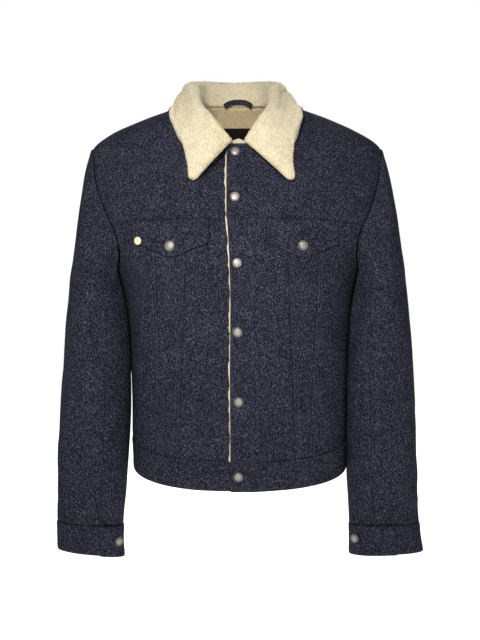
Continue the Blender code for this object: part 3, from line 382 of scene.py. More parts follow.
def smooth(at, knots, values):
    """Cubic curve through rising knots; the slope at each knot comes from its neighbours. The values are
    numbers, or points or rows of points."""
    knots, values = np.asarray(knots, float), np.asarray(values, float)
    slopes = np.gradient(values, knots, axis=0)
    at = np.clip(at, knots[0], knots[-1])
    i = np.clip(np.searchsorted(knots, at, side="right") - 1, 0, len(knots) - 2)
    wider = (...,) + (None,) * (values.ndim - 1)
    span = (knots[i + 1] - knots[i])[wider]
    s = (at - knots[i])[wider] / span
    return eased(s, values[i], values[i + 1], span * slopes[i], span * slopes[i + 1])


def ramp(value, start, end):
    """0 before start, 1 after end, eased between."""
    s = np.clip((value - start) / (end - start), 0, 1)
    return s * s * (3 - 2 * s)


def unit(vectors):
    """Each vector over its own length."""
    return vectors / np.maximum(np.linalg.norm(vectors, axis=-1, keepdims=True), 1e-9)


def creases(folds, across, z, lap=0.0):
    """Height of soft creases: each is its swell times exp(-(along/length)^2 - (aside/width)^2)."""
    height = 0.0 * across * z
    for middle, level, slant, half_length, half_width, swell in zip(*folds.values()):
        off_x, off_z = across - middle, z - level
        if lap:
            off_x = (off_x + lap / 2) % lap - lap / 2
        turn = np.radians(slant)
        along = off_x * np.cos(turn) + off_z * np.sin(turn)
        aside = off_z * np.cos(turn) - off_x * np.sin(turn)
        height = height + swell * np.exp(-(along / half_length) ** 2 - (aside / half_width) ** 2)
    return height


def cloudy(points, size, seed):
    """Smooth noise from -1 to 1: random values at the corners of cubes of this size, eased between them."""
    lattice = np.random.default_rng(seed).uniform(-1, 1, (32, 32, 32))
    q = points / size
    low = np.floor(q).astype(int)
    f = q - low
    f = f * f * (3 - 2 * f)
    total = 0.0
    for corner in np.ndindex(2, 2, 2):
        weight = np.prod(np.where(np.array(corner) == 1, f, 1 - f), axis=-1)
        total = total + weight * lattice[tuple(np.moveaxis((low + corner) % 32, -1, 0))]
    return total


def uneven(points, name, side=0):
    """Slight unevenness of a cloth; each side has its own."""
    swell, size, seed = UNEVEN[name]
    return swell * cloudy(points, size, seed + side)


def body_sizes(z):
    """Half width, front depth, back depth and roundness of the ring at a height."""
    return [smooth(z, BODY["z"], BODY[name]) for name in ("half", "front", "back", "power")]


def body_middle(z):
    """x of the ring's middle."""
    return smooth(z, BODY["z"], BODY["middle"])


def body_point(turn, z):
    """Places on the body: x is half width times sin^(2/power), y is depth times cos^(2/power), with the
    creases in the depth."""
    half, front, back, power = body_sizes(z)
    s, c = np.sin(np.radians(turn)), np.cos(np.radians(turn))
    x = half * np.sign(s) * np.abs(s) ** (2 / power) + body_middle(z)
    depth = np.where(c > 0, front + creases(FRONT_FOLDS, x, z), back + creases(BACK_FOLDS, x, z))
    y = -depth * np.sign(c) * np.abs(c) ** (2 / power)
    return np.stack([x, y, z + 0 * x], axis=-1)


def body_normal(turn, z):
    """Outward normals, from differences along the two directions."""
    around = body_point(turn + 0.5, z) - body_point(turn - 0.5, z)
    up = body_point(turn, z + 1) - body_point(turn, z - 1)
    return unit(np.cross(around, up))


def turn_at_x(x, z, back=False):
    """Turn of the place at this x and height, on the front or on the back."""
    half, _, _, power = body_sizes(z)
    off = x - body_middle(z)
    ratio = np.clip(np.abs(off) / half, 0, 1) ** (power / 2)
    turn = np.sign(off) * np.degrees(np.arcsin(ratio))
    return 180 - turn if back else turn


def places(turn, z):
    """One array of (turn, z) places."""
    turn, z = np.broadcast_arrays(np.asarray(turn, float), np.asarray(z, float))
    return np.stack([turn, z], axis=-1)


def between(first, last, count, bend=1.0):
    """Evenly spread places from one to another, crowded towards the end where bend is over 1."""
    s = 1 - (1 - np.linspace(0, 1, count + 1)) ** bend
    return np.asarray(first, float) + s[:, None] * (np.asarray(last, float) - np.asarray(first, float))


def joined(*runs):
    """Runs of places end to end, each shared end kept once."""
    return np.concatenate([runs[0]] + [run[1:] for run in runs[1:]])


def finer(values, steps):
    """A run of numbers, points or rows of points with this many steps for each one, on a smooth curve."""
    last = len(values) - 1
    return smooth(np.linspace(0, last, last * steps + 1), np.arange(last + 1), values)


def corner_rounded(points, radius):
    """The grid with the two corners of its last row rounded: a point nearer both edges than the radius, and
    further than it from the arc's middle, moves in along the line to that middle."""
    way = edge_distance(points)
    inward_row = -unit(np.gradient(points, axis=1))
    for edge, sign in ((0, 1), (1, -1)):
        inward = sign * unit(np.gradient(points, axis=0))
        a, b = (np.maximum(radius - way[number], 0) for number in (edge, 3))
        far = np.hypot(a, b)
        move = np.maximum(far - radius, 0) / np.maximum(far, 1e-6)
        points = points + move[..., None] * (a[..., None] * inward + b[..., None] * inward_row)
    return points


def patch(bottom, top, left, right, spread=None):
    """Grid inside four edges: the edges blended, less their corners (a Coons patch)."""
    u = (np.linspace(0, 1, len(bottom)) if spread is None else spread)[:, None, None]
    v = np.linspace(0, 1, len(left))[None, :, None]
    sides = (1 - u) * left[None] + u * right[None]
    ends = (1 - v) * bottom[:, None] + v * top[:, None]
    corners = ((1 - u) * (1 - v) * bottom[0] + u * (1 - v) * bottom[-1]
               + (1 - u) * v * top[0] + u * v * top[-1])
    return sides + ends - corners


def drawn_in(points, gap):
    """The grid with its four edges moved towards their neighbours."""
    points = points.copy()
    for axis in (0, 1):
        rows = np.moveaxis(points, axis, 0)
        rows[0] += gap * unit(rows[1] - rows[0])
        rows[-1] += gap * unit(rows[-2] - rows[-1])
    return points


def sheet_normals(points):
    """Normals of an open grid, from the differences along its columns and rows."""
    return unit(np.cross(np.gradient(points, axis=0), np.gradient(points, axis=1)))


def tube_normals(points):
    """Outward normals of a closed tube whose first column is repeated last; rows run down it."""
    around = np.roll(points[:-1], -1, axis=0) - np.roll(points[:-1], 1, axis=0)
    around = np.concatenate([around, around[:1]])
    return unit(np.cross(around, np.gradient(points, axis=1)))


def quarter_round(way, radius):
    """1 at the edge of a rounded rim, 0 further in than its radius: 1 - sqrt(1 - (1 - way / radius)^2)."""
    return 1 - np.sqrt(np.clip(1 - (1 - np.clip(way / radius, 0, 1)) ** 2, 0, 1))


def edge_distance(points):
    """Way along the grid from each point to the low and high edge, across and along: four arrays."""
    found = []
    for axis in (0, 1):
        step = np.linalg.norm(np.diff(points, axis=axis), axis=-1)
        way = np.cumsum(step, axis=axis)
        way = np.concatenate([np.zeros_like(np.take(way, [0], axis=axis)), way], axis=axis)
        found += [way, np.take(way, [-1], axis=axis) - way]
    return found


# ---------------------------------------------------------------- seams of the body

def armhole(point, side):
    """Places of the armhole's points: 0 at the shoulder tip, then over the front, underarm and back. y and z
    are smooth curves of the angle; the turn is arccos((|y| / depth)^(power/2))."""
    angle = np.asarray(point, float) * 360 / LOOP_POINTS % 360
    knots = np.array(ARMHOLE["angle"], float)
    knots = np.concatenate([knots - 360, knots, knots + 360])
    y = smooth(angle, knots, np.tile(ARMHOLE["y"], 3))
    z = smooth(angle, knots, np.tile(ARMHOLE["z"], 3))
    _, front, back, power = body_sizes(z)
    depth = np.where(y < 0, front, back)
    turn = np.degrees(np.arccos(np.clip(np.abs(y) / depth, 0, 1) ** (power / 2)))
    turn = np.where(y > 0, 180 - turn, turn)
    return places(side * turn, z)


def loop_run(first, last):
    """Fine armhole points from one plain one to another."""
    return np.linspace(first, last, abs(last - first) * FINE + 1)


def neck_height(turn):
    """Height of the neck seam at a turn, the same on both sides."""
    return smooth(180 - np.abs(180 - np.abs(turn)), NECKLINE["turn"], NECKLINE["z"])


def hem_height(turn):
    """Height of the hem: its height at the side, less the front's or the back's dip times |cos(turn)|."""
    c = np.cos(np.radians(turn))
    return HEM_SIDE - np.where(c > 0, HEM_FRONT_DIP, HEM_BACK_DIP) * np.abs(c)


def on_hem(turn, raised):
    """Places at these turns, raised this far above the hem."""
    return places(turn, hem_height(np.asarray(turn, float)) + raised)


def yoke_height(x):
    """Height of the front yoke seam: it changes with the square of the distance from the centre."""
    return YOKE_FRONT + (YOKE_FRONT_SIDE - YOKE_FRONT) * (abs(x) / 200) ** 2


def slanting_seam(xs, top_z, side=1, back=False):
    """A seam straight in x and z between the waistband and the yoke, as places from the bottom up."""
    top_x, bottom_x = xs
    low_z = on_hem(turn_at_x(side * bottom_x, HEM_SIDE, back), BAND_HEIGHT)[1]
    s = np.linspace(0, 1, PANEL_ROWS * FINE + 1)
    z = low_z + s * (top_z - low_z)
    return places(turn_at_x(side * (bottom_x + s * (top_x - bottom_x)), z, back), z)


def side_edge(side, yoke_loop):
    """The side seam from the waistband to the underarm, then the armhole up to a yoke seam."""
    loop = armhole(loop_run(UNDERARM_LOOP, yoke_loop), side)
    return joined(between(on_hem(side * 90, BAND_HEIGHT), loop[0], PANEL_ROWS * FINE + 1 - len(loop)), loop)


def over_lap(x):
    """1 where the left front lies over the right one, fading past the overlap."""
    return 1 - ramp(x, UNDERLAP_EDGE + 2, UNDERLAP_EDGE + LAP_FADE)


def under_lap(x):
    """1 where the right front lies under the left one, fading before the overlap."""
    return ramp(x, UNDERLAP_START - LAP_FADE, UNDERLAP_START)


def lap_rise(side):
    """How far the front stands off the body's surface where the fronts lap."""
    def rise(points):
        return LAP_RISE * over_lap(points[..., 0]) if side > 0 else UNDERLAP * under_lap(points[..., 0])
    return rise


def panel(left, right, spread):
    """Grid between two long seams; spread says where its columns stand across."""
    spread = finer(spread, FINE)[:, None]
    low_turn = left[0, 0] + spread[:, 0] * (right[0, 0] - left[0, 0])
    high = left[-1] + spread * (right[-1] - left[-1])
    return patch(on_hem(low_turn, BAND_HEIGHT), high, left, right, spread[:, 0])


def to_x(run):
    """Places (turn, z) as (x, z)."""
    return np.stack([body_point(run[..., 0], run[..., 1])[..., 0], run[..., 1]], axis=-1)


def front_yoke(side, bottom):
    """Grid from the yoke seam up to the neck and the shoulder seam: a patch laid out in x and z."""
    neck_z = NECKLINE["z"][0]
    start = turn_at_x(np.array(NECK_START[side]), neck_z)
    turns = finer(np.concatenate([start, side * np.array(NECK_TURNS, float)]), FINE)
    neck_zs = finer(np.concatenate([0 * start + neck_z, neck_height(np.array(NECK_TURNS, float))]), FINE)
    neck_zs[len(start) * FINE:] = neck_height(turns[len(start) * FINE:])
    neck_zs[:(len(start) - 1) * FINE] = neck_z
    shoulder = between((NECK_TURNS[-1] * side, neck_height(NECK_TURNS[-1])), armhole(0, side),
                       SHOULDER_COLUMNS * FINE)
    top = joined(places(turns, neck_zs), shoulder)
    right = armhole(loop_run(FRONT_YOKE_LOOP, 0), side)
    edge_z = between((YOKE_FRONT,), (neck_z,), YOKE_ROWS * FINE, bend=2.0)[:, 0]
    left = places(turn_at_x(NECK_START[side][0], edge_z), edge_z)
    grid = patch(*(to_x(run) for run in (bottom, top, left, right)))
    return places(turn_at_x(grid[..., 0], grid[..., 1]), grid[..., 1])


def free_edge(side, z):
    """x of a front's free edge: the left one, on top, leans a little."""
    if side > 0:
        return smooth(z, LAP_EDGE["z"], LAP_EDGE["x"])
    return UNDERLAP_EDGE + 0 * z


def front_grids(side):
    """The four panels of one front, by name."""
    low_z = on_hem(turn_at_x(free_edge(side, HEM_SIDE), HEM_SIDE), BAND_HEIGHT)[1]
    edge_z = np.linspace(low_z, YOKE_FRONT, PANEL_ROWS * FINE + 1)
    edge = places(turn_at_x(free_edge(side, edge_z), edge_z), edge_z)
    inner, outer = (slanting_seam(xs, yoke_height(xs[0]), side) for xs in FRONT_SEAMS)
    grids = {
        "centre_front": panel(edge, inner, CENTRE_SPREAD[side]),
        "middle_front": panel(inner, outer, np.linspace(0, 1, MIDDLE_COLUMNS + 1)),
        "side_front": panel(outer, side_edge(side, FRONT_YOKE_LOOP), np.linspace(0, 1, SIDE_COLUMNS + 1)),
    }
    grids["front_yoke"] = front_yoke(side, joined(*(grid[:, -1] for grid in grids.values())))
    return grids


def back_grids():
    """The four panels of the back, by name."""
    left, right = side_edge(1, BACK_YOKE_LOOP), side_edge(-1, BACK_YOKE_LOOP) + ROUND
    seam = slanting_seam(BACK_SEAM, YOKE_BACK, back=True)
    other_seam = seam * (-1, 1) + ROUND
    side_spread = np.linspace(0, 1, BACK_SIDE_COLUMNS + 1)
    grids = {
        "side_back_left": panel(left, seam, side_spread),
        "centre_back": panel(seam, other_seam, np.linspace(0, 1, BACK_COLUMNS + 1)),
        "side_back_right": panel(other_seam, right, side_spread),
    }
    bottom = joined(*(grid[:, -1] for grid in grids.values()))
    columns = SHOULDER_COLUMNS * FINE
    neck_turns = np.linspace(180 - NECK_TURNS[-1], 180 + NECK_TURNS[-1], len(bottom) - 2 * columns)
    neck = places(neck_turns, neck_height(neck_turns))
    tips = armhole(0, 1), armhole(0, -1) + ROUND
    top = joined(between(tips[0], neck[0], columns), neck, between(neck[-1], tips[1], columns))
    rise = loop_run(BACK_YOKE_LOOP, LOOP_POINTS)
    edges = bottom, top, armhole(rise, 1), armhole(rise, -1) + ROUND
    grid = patch(*(to_x(run) for run in edges))
    grids["back_yoke"] = places(turn_at_x(grid[..., 0], grid[..., 1], back=True), grid[..., 1])
    return grids


# ---------------------------------------------------------------- sleeves

def clear_of_body(points, clearance, side):
    """The points, moved out in x where they would come nearer the body's side than this."""
    x, y, z = np.moveaxis(points, -1, 0)
    half, front_depth, back_depth, power = body_sizes(z)
    depth = np.where(y < 0, front_depth, back_depth)
    body_x = half * (1 - np.clip(np.abs(y) / depth, 0, 1) ** power) ** (1 / power)
    return np.stack([np.maximum(x, body_x + side * body_middle(z) + clearance), y, z], axis=-1)


def sleeve_section(side, angle, z):
    """Places round a sleeve, as on the left; angle is 0 at its outer side, 90 in front, 180 inside. From its
    middle, x goes half its width times cos^bend and y half its depth times sin^bend."""
    outer, inner = (smooth(z, SLEEVE["z"], SLEEVE[name][side]) for name in ("outer", "inner"))
    front_y, back_y = (smooth(z, SLEEVE["z"], SLEEVE[name]) for name in ("front", "back"))
    c, s = np.cos(np.radians(angle)), np.sin(np.radians(angle))
    bend = 2 / SLEEVE_POWER
    x = (outer + inner) / 2 + (outer - inner) / 2 * np.sign(c) * np.abs(c) ** bend
    y = (front_y + back_y) / 2 + (front_y - back_y) / 2 * np.sign(s) * np.abs(s) ** bend
    return clear_of_body(np.stack([x, y, z + 0 * x], axis=-1), SLEEVE_CLEAR, side)


def sleeve_tube(side):
    """Fine grid of the whole sleeve, as on the left, with its creases, and its normals.
    The upper rows are cubic curves from the armhole seam into the straight arm below."""
    point = np.linspace(0, LOOP_POINTS, LOOP_POINTS * FINE + 1)
    angle = point * 360.0 / LOOP_POINTS
    c = np.cos(np.radians(angle))
    joint_z = CAP_END + CAP_END_SWING * c
    start_places = armhole(point, side)
    start = body_point(start_places[:, 0], start_places[:, 1]) * (side, 1, 1)
    out = CAP_OUT + CAP_OUT_SWING * c
    way = np.stack([out, CAP_ASIDE * start[:, 1], -np.sqrt(1 - out ** 2)], axis=-1)
    joint = sleeve_section(side, angle, joint_z)
    down = unit(sleeve_section(side, angle, joint_z - 8) - joint)
    reach = np.linalg.norm(joint - start, axis=-1)[:, None]
    start = start + SEAM * way
    curve = [start, start + CAP_HANDLES[0] * reach * way, joint - CAP_HANDLES[1] * reach * down, joint]
    s = np.linspace(0, 1, SLEEVE_ROWS_UPPER * FINE + 1)[:, None, None] ** CAP_CROWD
    upper = ((1 - s) ** 3 * curve[0] + 3 * s * (1 - s) ** 2 * curve[1]
             + 3 * s * s * (1 - s) * curve[2] + s ** 3 * curve[3])
    upper[1:] = clear_of_body(upper[1:], SLEEVE_CLEAR, side)
    row = np.linspace(0, 1, SLEEVE_ROWS_LOWER * FINE + 1)[1:, None]
    end_z = CUFF_SEAM + CUFF_TILT[side] / 2 * c
    lower_z = joint_z + row * (end_z - joint_z)
    lower = sleeve_section(side, angle + 0 * row, lower_z)
    points = np.concatenate([upper, lower]).transpose(1, 0, 2)
    across = angle[:, None] / 360 * SLEEVE_ROUND
    swell = uneven(points, "sleeve", side)
    for folds in (SLEEVE_FOLDS, SLEEVE_CREASES):
        swell = swell + creases(folds[side], across, points[..., 2], SLEEVE_ROUND)
    swell = swell * ramp(np.arange(points.shape[1]), 0, 3 * FINE)
    points = points + swell[..., None] * tube_normals(points)
    points[:, 1:] = clear_of_body(points[:, 1:], SLEEVE_CLEAR, side)
    return points, tube_normals(points)


def cuff_surface(side, angle, part):
    """Places on the cuff's body: the sleeve's section at a height that part shares between the seam, at 0,
    and the end, at 1; both tilt with cos(angle)."""
    c = np.cos(np.radians(angle))
    top = CUFF_SEAM + CUFF_TILT[side] / 2 * c
    end = CUFF_END + CUFF_TILT[side] * c
    return sleeve_section(side, angle, top + part * (end - top))


def cuff_rise(side, angle, part):
    """How far the cuff stands off the sleeve's surface: more where its upper end lies on its lower one, and
    falling faster beside its seam, at part 0, than at its free edge, at part 1."""
    fade = CUFF_FADE[0] + (CUFF_FADE[1] - CUFF_FADE[0]) * part
    return CUFF_PROUD + CUFF_LAP_RISE * (1 - ramp(angle - CUFF_EDGE[side], CUFF_LAP, CUFF_LAP + fade))


def cuff_grid(side):
    """Fine grid of the cuff's outer face, as on the left, and its normals."""
    angle = CUFF_EDGE[side] + np.linspace(0, 360 + CUFF_LAP, CUFF_COLUMNS * FINE + 1)[:, None]
    part = np.linspace(0, 1, CUFF_ROWS * FINE + 1)[None]
    points = cuff_surface(side, angle, part)
    ahead, behind = cuff_surface(side, angle + 2, part), cuff_surface(side, angle - 2, part)
    normals = unit(np.cross(ahead - behind, np.gradient(points, axis=1)))
    return points + cuff_rise(side, angle, part)[..., None] * normals, normals


# ---------------------------------------------------------------- collar

def collar_paths():
    """Visible face of the collar, and how thick each column is. Columns go from the right front round the
    back to the left front. Rows go from the neck seam straight up the stand, round the roll in an arc, and
    down the fall in a line bowed out."""
    stations = np.linspace(0, 1, len(COLLAR["turn"]))
    at = np.linspace(0, 1, COLLAR_COLUMNS + 1)
    size = {name: smooth(at, stations, values) for name, values in COLLAR.items()}
    edge = {name: smooth(at, COLLAR_EDGE["at"], values) for name, values in COLLAR_EDGE.items()}
    seam = body_point(size["turn"], neck_height(size["turn"]))
    roll = np.stack([size["roll_x"], size["roll_y"], size["roll_z"]], axis=-1)
    thick = np.minimum(COLLAR_PILE, size["radius"] - ROLL_CORE)
    lift = (thick + SEAM + UNDER_COLLAR + edge["clear"])[:, None]
    hem = body_point(edge["turn"], edge["z"])
    hem = hem + lift * body_normal(edge["turn"], edge["z"])
    radius = size["radius"][:, None]
    along = np.gradient(roll, axis=0)
    along[-1] = (-1, 0, 0)
    up = np.array([0.0, 0.0, 1.0])
    out = unit(np.cross(along, up))
    rise = unit(np.cross(out, along))
    rise *= np.sign(rise[:, 2:])
    centre = roll - radius * rise
    inside = centre - radius * out
    foot = seam - COLLAR_INSIDE * ramp(at, *COLLAR_TUCKS)[:, None] * out
    lean = unit(inside - foot)
    sink = thick * np.maximum(0, np.sum(lean * out, axis=-1))
    low = COLLAR_FOOT[0] + (COLLAR_FOOT[1] - COLLAR_FOOT[0]) * ramp(at, *COLLAR_LIFTS)
    foot = foot + (low + sink)[:, None] * up
    stand = [foot + s * (inside - foot) for s in np.linspace(0, 1, STAND_ROWS * COLLAR_ROW_FINE + 1)[:-1]]
    arc = [centre - radius * (np.cos(a) * out - np.sin(a) * rise)
           for a in np.radians(np.linspace(0, 180, ROLL_ROWS * COLLAR_ROW_FINE + 1))]
    outside = centre + radius * out
    bulge = COLLAR_BULGE[1] + (COLLAR_BULGE[0] - COLLAR_BULGE[1]) * (1 - ramp(at, *COLLAR_FLATTENS))
    bulge = bulge[:, None]
    fall = [outside + s * (hem - outside) + bulge * np.sin(np.pi * s) * out
            for s in np.linspace(0, 1, FALL_ROWS * COLLAR_ROW_FINE + 1)[1:]]
    half = np.stack(stand + arc + fall, axis=1)
    both = finer(np.concatenate([half * (-1, 1, 1), half[-2::-1]]), COLLAR_FINE)
    both[..., 0] += smooth(both[..., 2], COLLAR_LEAN["z"], COLLAR_LEAN["x"])
    both = corner_rounded(both, COLLAR_CORNER)
    return both, finer(np.concatenate([thick, thick[-2::-1]]), COLLAR_FINE)


# ---------------------------------------------------------------- meshes

def quads(a, b, c, d):
    """Faces of four corners, from four arrays of point numbers."""
    return np.stack([a, b, c, d], axis=-1).reshape(-1, 4)


def grid_faces(index):
    """Quads of a grid of point numbers."""
    return quads(index[:-1, :-1], index[1:, :-1], index[1:, 1:], index[:-1, 1:])


def wall_faces(columns, rows):
    """Quads of a wall: its outer grid, its inner grid turned round, and the rims that join them."""
    index = np.arange(columns * rows).reshape(columns, rows)
    inner = index + columns * rows
    return np.concatenate([
        grid_faces(index),
        quads(inner[:-1, :-1], inner[:-1, 1:], inner[1:, 1:], inner[1:, :-1]),
        quads(index[1:, 0], index[:-1, 0], inner[:-1, 0], inner[1:, 0]),
        quads(index[:-1, -1], index[1:, -1], inner[1:, -1], inner[:-1, -1]),
        quads(index[0, :-1], index[0, 1:], inner[0, 1:], inner[0, :-1]),
        quads(index[-1, 1:], index[-1, :-1], inner[-1, :-1], inner[-1, 1:]),
    ])


def make_mesh(name, points, faces, finish, coordinates=None):
    """A smooth-shaded piece from points in millimetres; coordinates are metres of cloth for each point."""
    mesh = bpy.data.meshes.new(name)
    points = np.ascontiguousarray(points, float).reshape(-1, 3) * MM
    faces = np.ascontiguousarray(faces, np.int32)
    mesh.vertices.add(len(points))
    mesh.vertices.foreach_set("co", points.ravel())
    mesh.loops.add(faces.size)
    mesh.loops.foreach_set("vertex_index", faces.ravel())
    mesh.polygons.add(len(faces))
    mesh.polygons.foreach_set("loop_start", np.arange(0, faces.size, faces.shape[1], dtype=np.int32))
    mesh.update(calc_edges=True)
    mesh.validate()
    if coordinates is not None:
        layer = mesh.uv_layers.new(name="cloth")
        layer.data.foreach_set("uv", np.asarray(coordinates, float).reshape(-1, 2)[faces.ravel()].ravel())
    mesh.materials.append(finish)
    mesh.shade_smooth()
    piece = bpy.data.objects.new(name, mesh)
    bpy.context.scene.collection.objects.link(piece)
    return piece


def settle(piece, slot, *nodes):
    """The piece rides on the body and stands for these solids, which are hidden. Its slot is not used."""
    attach(piece, "root")
    if nodes:
        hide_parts(*nodes)


def cloth_ways(points):
    """Metres of cloth across and along, for each point of a grid."""
    across, _, along, _ = edge_distance(points)
    middle = across[:, across.shape[1] // 2][:, None] + 0 * across
    return np.stack([0.5 * (across + middle), along], axis=-1) * MM


def cell_areas(points):
    """Area of each cell of a grid, as the parallelogram on its first two edges."""
    corner = points[:-1, :-1]
    return np.linalg.norm(np.cross(points[1:, :-1] - corner, points[:-1, 1:] - corner), axis=-1)


def cloth_wall(name, outer, inner, node, finish=None, slot="flecked_denim", cut=None):
    """A closed sheet between two grids of points, standing for a solid. Its flat size is measured along the
    grid of its cut, or of its outer face: width, length and area."""
    ways = cloth_ways(outer)
    piece = make_mesh(name, np.stack([outer, inner]), wall_faces(*outer.shape[:2]), finish or cloth_finish(),
                      np.stack([ways, ways]))
    settle(piece, slot, node)
    cut = outer if cut is None else cut
    across, _, along, _ = edge_distance(cut)
    width, length = max(0.01, across[-1].max() * MM), max(0.01, along[:, -1].max() * MM)
    area = cell_areas(cut).sum() * MM * MM
    area = min(max(area, LEAST_PART * width * length), width * length)


def rolled(outer, edges, fell, pucker):
    """Relief of a sewn panel, millimetres outward: every edge rolls down; a felled one stands up by fell;
    puckers run in from its seam, a sine along it that dies away inwards."""
    ways = edge_distance(outer)
    height = 0.0 * outer[..., 0]
    for number, way in enumerate(ways):
        along = ways[2] if number < 2 else ways[0]
        height = height - EDGE_ROLL * quarter_round(way, EDGE_ROLL)
        if number in edges:
            height = height + fell * (1 - ramp(way, FELL_WIDTH - FELL_STEP, FELL_WIDTH + FELL_STEP))
            wave = np.sin(along / PUCKER["wave"] + PUCKER["sway"] * np.sin(along / PUCKER["drift"]))
            wave = wave * np.sin(along / PUCKER["beat"] + number)
            height = height + pucker * wave * np.exp(-((way - FELL_WIDTH) / PUCKER["reach"]) ** 2)
    return height


# ---------------------------------------------------------------- materials

class Value:
    """A shader value: arithmetic on it adds Math nodes."""

    def __init__(self, nodes, socket):
        self.nodes, self.socket = nodes, socket

    def math(self, operation, *others):
        """A Math node on this value and the others."""
        return self.nodes.add("ShaderNodeMath", {"operation": operation}, dict(enumerate((self, *others))))

    def __add__(self, other):
        return self.math("ADD", other)

    def __mul__(self, other):
        return self.math("MULTIPLY", other)

    def __sub__(self, other):
        return self.math("SUBTRACT", other)

    def __rsub__(self, other):
        return self.nodes.add("ShaderNodeMath", {"operation": "SUBTRACT"}, {0: other, 1: self})

    __radd__, __rmul__ = __add__, __mul__


class Finish:
    """Builds one material; add() makes any node from its type, its settings and its inputs."""

    def __init__(self, name, colour, roughness, **constants):
        self.material = bpy.data.materials.new(name)
        self.material.use_nodes = True
        self.tree = self.material.node_tree
        self.shader = self.tree.nodes["Principled BSDF"]
        self.material.diffuse_color = (*colour, 1)
        self.shader.inputs["Base Color"].default_value = (*colour, 1)
        self.shader.inputs["Roughness"].default_value = roughness
        for socket, value in constants.items():
            self.shader.inputs[socket.replace("_", " ")].default_value = value

    def add(self, kind, settings=None, inputs=None, output=0):
        """A node of this kind, with its settings set first and then its sockets' values or links."""
        node = self.tree.nodes.new(kind)
        for key, value in (settings or {}).items():
            setattr(node, key, value)
        for key, value in (inputs or {}).items():
            self.link(node.inputs[key], value)
        return Value(self, node.outputs[output])

    def link(self, socket, value):
        """Link a value to a socket, or set a plain number, colour or vector on it."""
        if isinstance(value, Value):
            self.tree.links.new(value.socket, socket)
        elif socket.type in ("RGBA", "VECTOR") and not hasattr(value, "__len__"):
            socket.default_value = (value,) * len(socket.default_value)
        elif socket.type == "RGBA" and len(value) == 3:
            socket.default_value = (*value, 1)
        else:
            socket.default_value = value

    def set(self, socket, value):
        self.link(self.shader.inputs[socket], value)

    def place(self, stretch=(1, 1, 1), kind="Object"):
        """Object coordinates, or the cloth's own with kind UV, stretched."""
        where = self.add("ShaderNodeTexCoord", output=kind)
        return self.add("ShaderNodeMapping", inputs={"Vector": where, "Scale": stretch})

    def noise(self, scale, detail, roughness, upright=1.0):
        """Noise at Object coordinates, drawn out in height where upright is under 1."""
        return self.add("ShaderNodeTexNoise", inputs={"Vector": self.place((1, 1, upright)), "Scale": scale,
                                                      "Detail": detail, "Roughness": roughness})

    def steps(self, value, low, high):
        """0 below low, 1 above high, eased between."""
        return self.add("ShaderNodeMapRange", {"interpolation_type": "SMOOTHSTEP"},
                        {"Value": value, "From Min": low, "From Max": high})

    def blend(self, factor, first, second):
        """A colour between two, by the factor."""
        return self.add("ShaderNodeMix", {"data_type": "RGBA"}, {0: factor, 6: first, 7: second}, output=2)

    def bump(self, height, distance, strength):
        """Relief of this height, in parts of the distance in metres."""
        self.set("Normal", self.add("ShaderNodeBump", inputs={"Height": height, "Distance": distance,
                                                              "Strength": strength}))


@functools.cache
def cloth_finish():
    """Dark ground. Pale warp threads show through it as short upright dashes, with finer specks between
    them and a few bright neps; broad patches carry more or fewer of them."""
    ground, fleck = tuple(colours().cloth), tuple(colours().fleck)
    finish = Finish("flecked_cloth", ground, 0.95, Sheen_Weight=0.0, Specular_IOR_Level=0.03)
    dashes, specks, neps = (finish.steps(finish.noise(*grain), low, high)
                            for *grain, low, high in FLECKS.values())
    patches = finish.steps(finish.noise(26, 3.0, 0.55), 0.25, 0.75)
    weave = finish.add("ShaderNodeTexWave", {"wave_type": "BANDS", "bands_direction": "DIAGONAL"},
                       {"Vector": finish.place(kind="UV"), "Scale": 520.0, "Distortion": 1.2, "Detail": 1.0},
                       output=1)
    amount = (dashes * 0.55 + specks * 0.32) * (patches * 0.4 + 0.75)
    paler = finish.blend(amount, ground, fleck)
    bright = tuple(2.0 * v for v in fleck)
    finish.set("Base Color", finish.blend(neps * 0.6, paler, bright))
    finish.set("Roughness", 0.92 - 0.1 * dashes)
    finish.bump(dashes * 0.6 + specks * 0.4 + weave * 0.3 + neps * 0.3, 0.0005, 0.6)
    return finish.material


@functools.cache
def pile_finish(name="curly_pile", shade=(1, 1, 1)):
    """Cream curls: pale tips, hollows painted darker and browner as painted shade, and thin streaks where
    locks part. A shade, when given, darkens the whole colour as painted shade.
    """
    cream = np.array(colours().pile) * shade
    finish = Finish(name, tuple(cream), 0.95, Sheen_Weight=0.2, Sheen_Roughness=0.6, Specular_IOR_Level=0.1)
    curls = finish.add("ShaderNodeTexVoronoi", {"feature": "SMOOTH_F1"},
                       {"Vector": finish.place((1, 1, 0.6)), "Scale": 430.0, "Smoothness": 0.6})
    locks = finish.noise(520, 3.0, 0.62, 0.3)
    broad = finish.steps(finish.noise(60, 3.0, 0.6), 0.35, 0.7)
    # Painted shade: the hollows between the curls take a darker, browner colour.
    hollow_shade = finish.steps(locks + curls * 0.35, 0.82, 0.42)
    brown, pale, palest = (tuple(np.minimum(cream * tone, 1)) for tone in
                           ((0.80, 0.75, 0.64), 1.06, (1.06, 1.06, 1.10)))
    finish.set("Base Color", finish.blend(broad * 0.35, finish.blend(hollow_shade * 0.9, brown, pale), palest))
    finish.bump(locks * 1.0 - curls * 0.6, 0.0016, 0.9)
    return finish.material


@functools.cache
def thread_finish():
    """Dark thread with a fine twist."""
    colour = tuple(colours().thread)
    finish = Finish("sewing_thread", colour, 0.6, Specular_IOR_Level=0.4)
    twist = finish.noise(2600, 1.0, 0.5)
    darker, lighter = (tuple(tone * v for v in colour) for tone in (0.7, 1.5))
    finish.set("Base Color", finish.blend(twist, darker, lighter))
    finish.bump(twist, 0.0002, 0.5)
    return finish.material


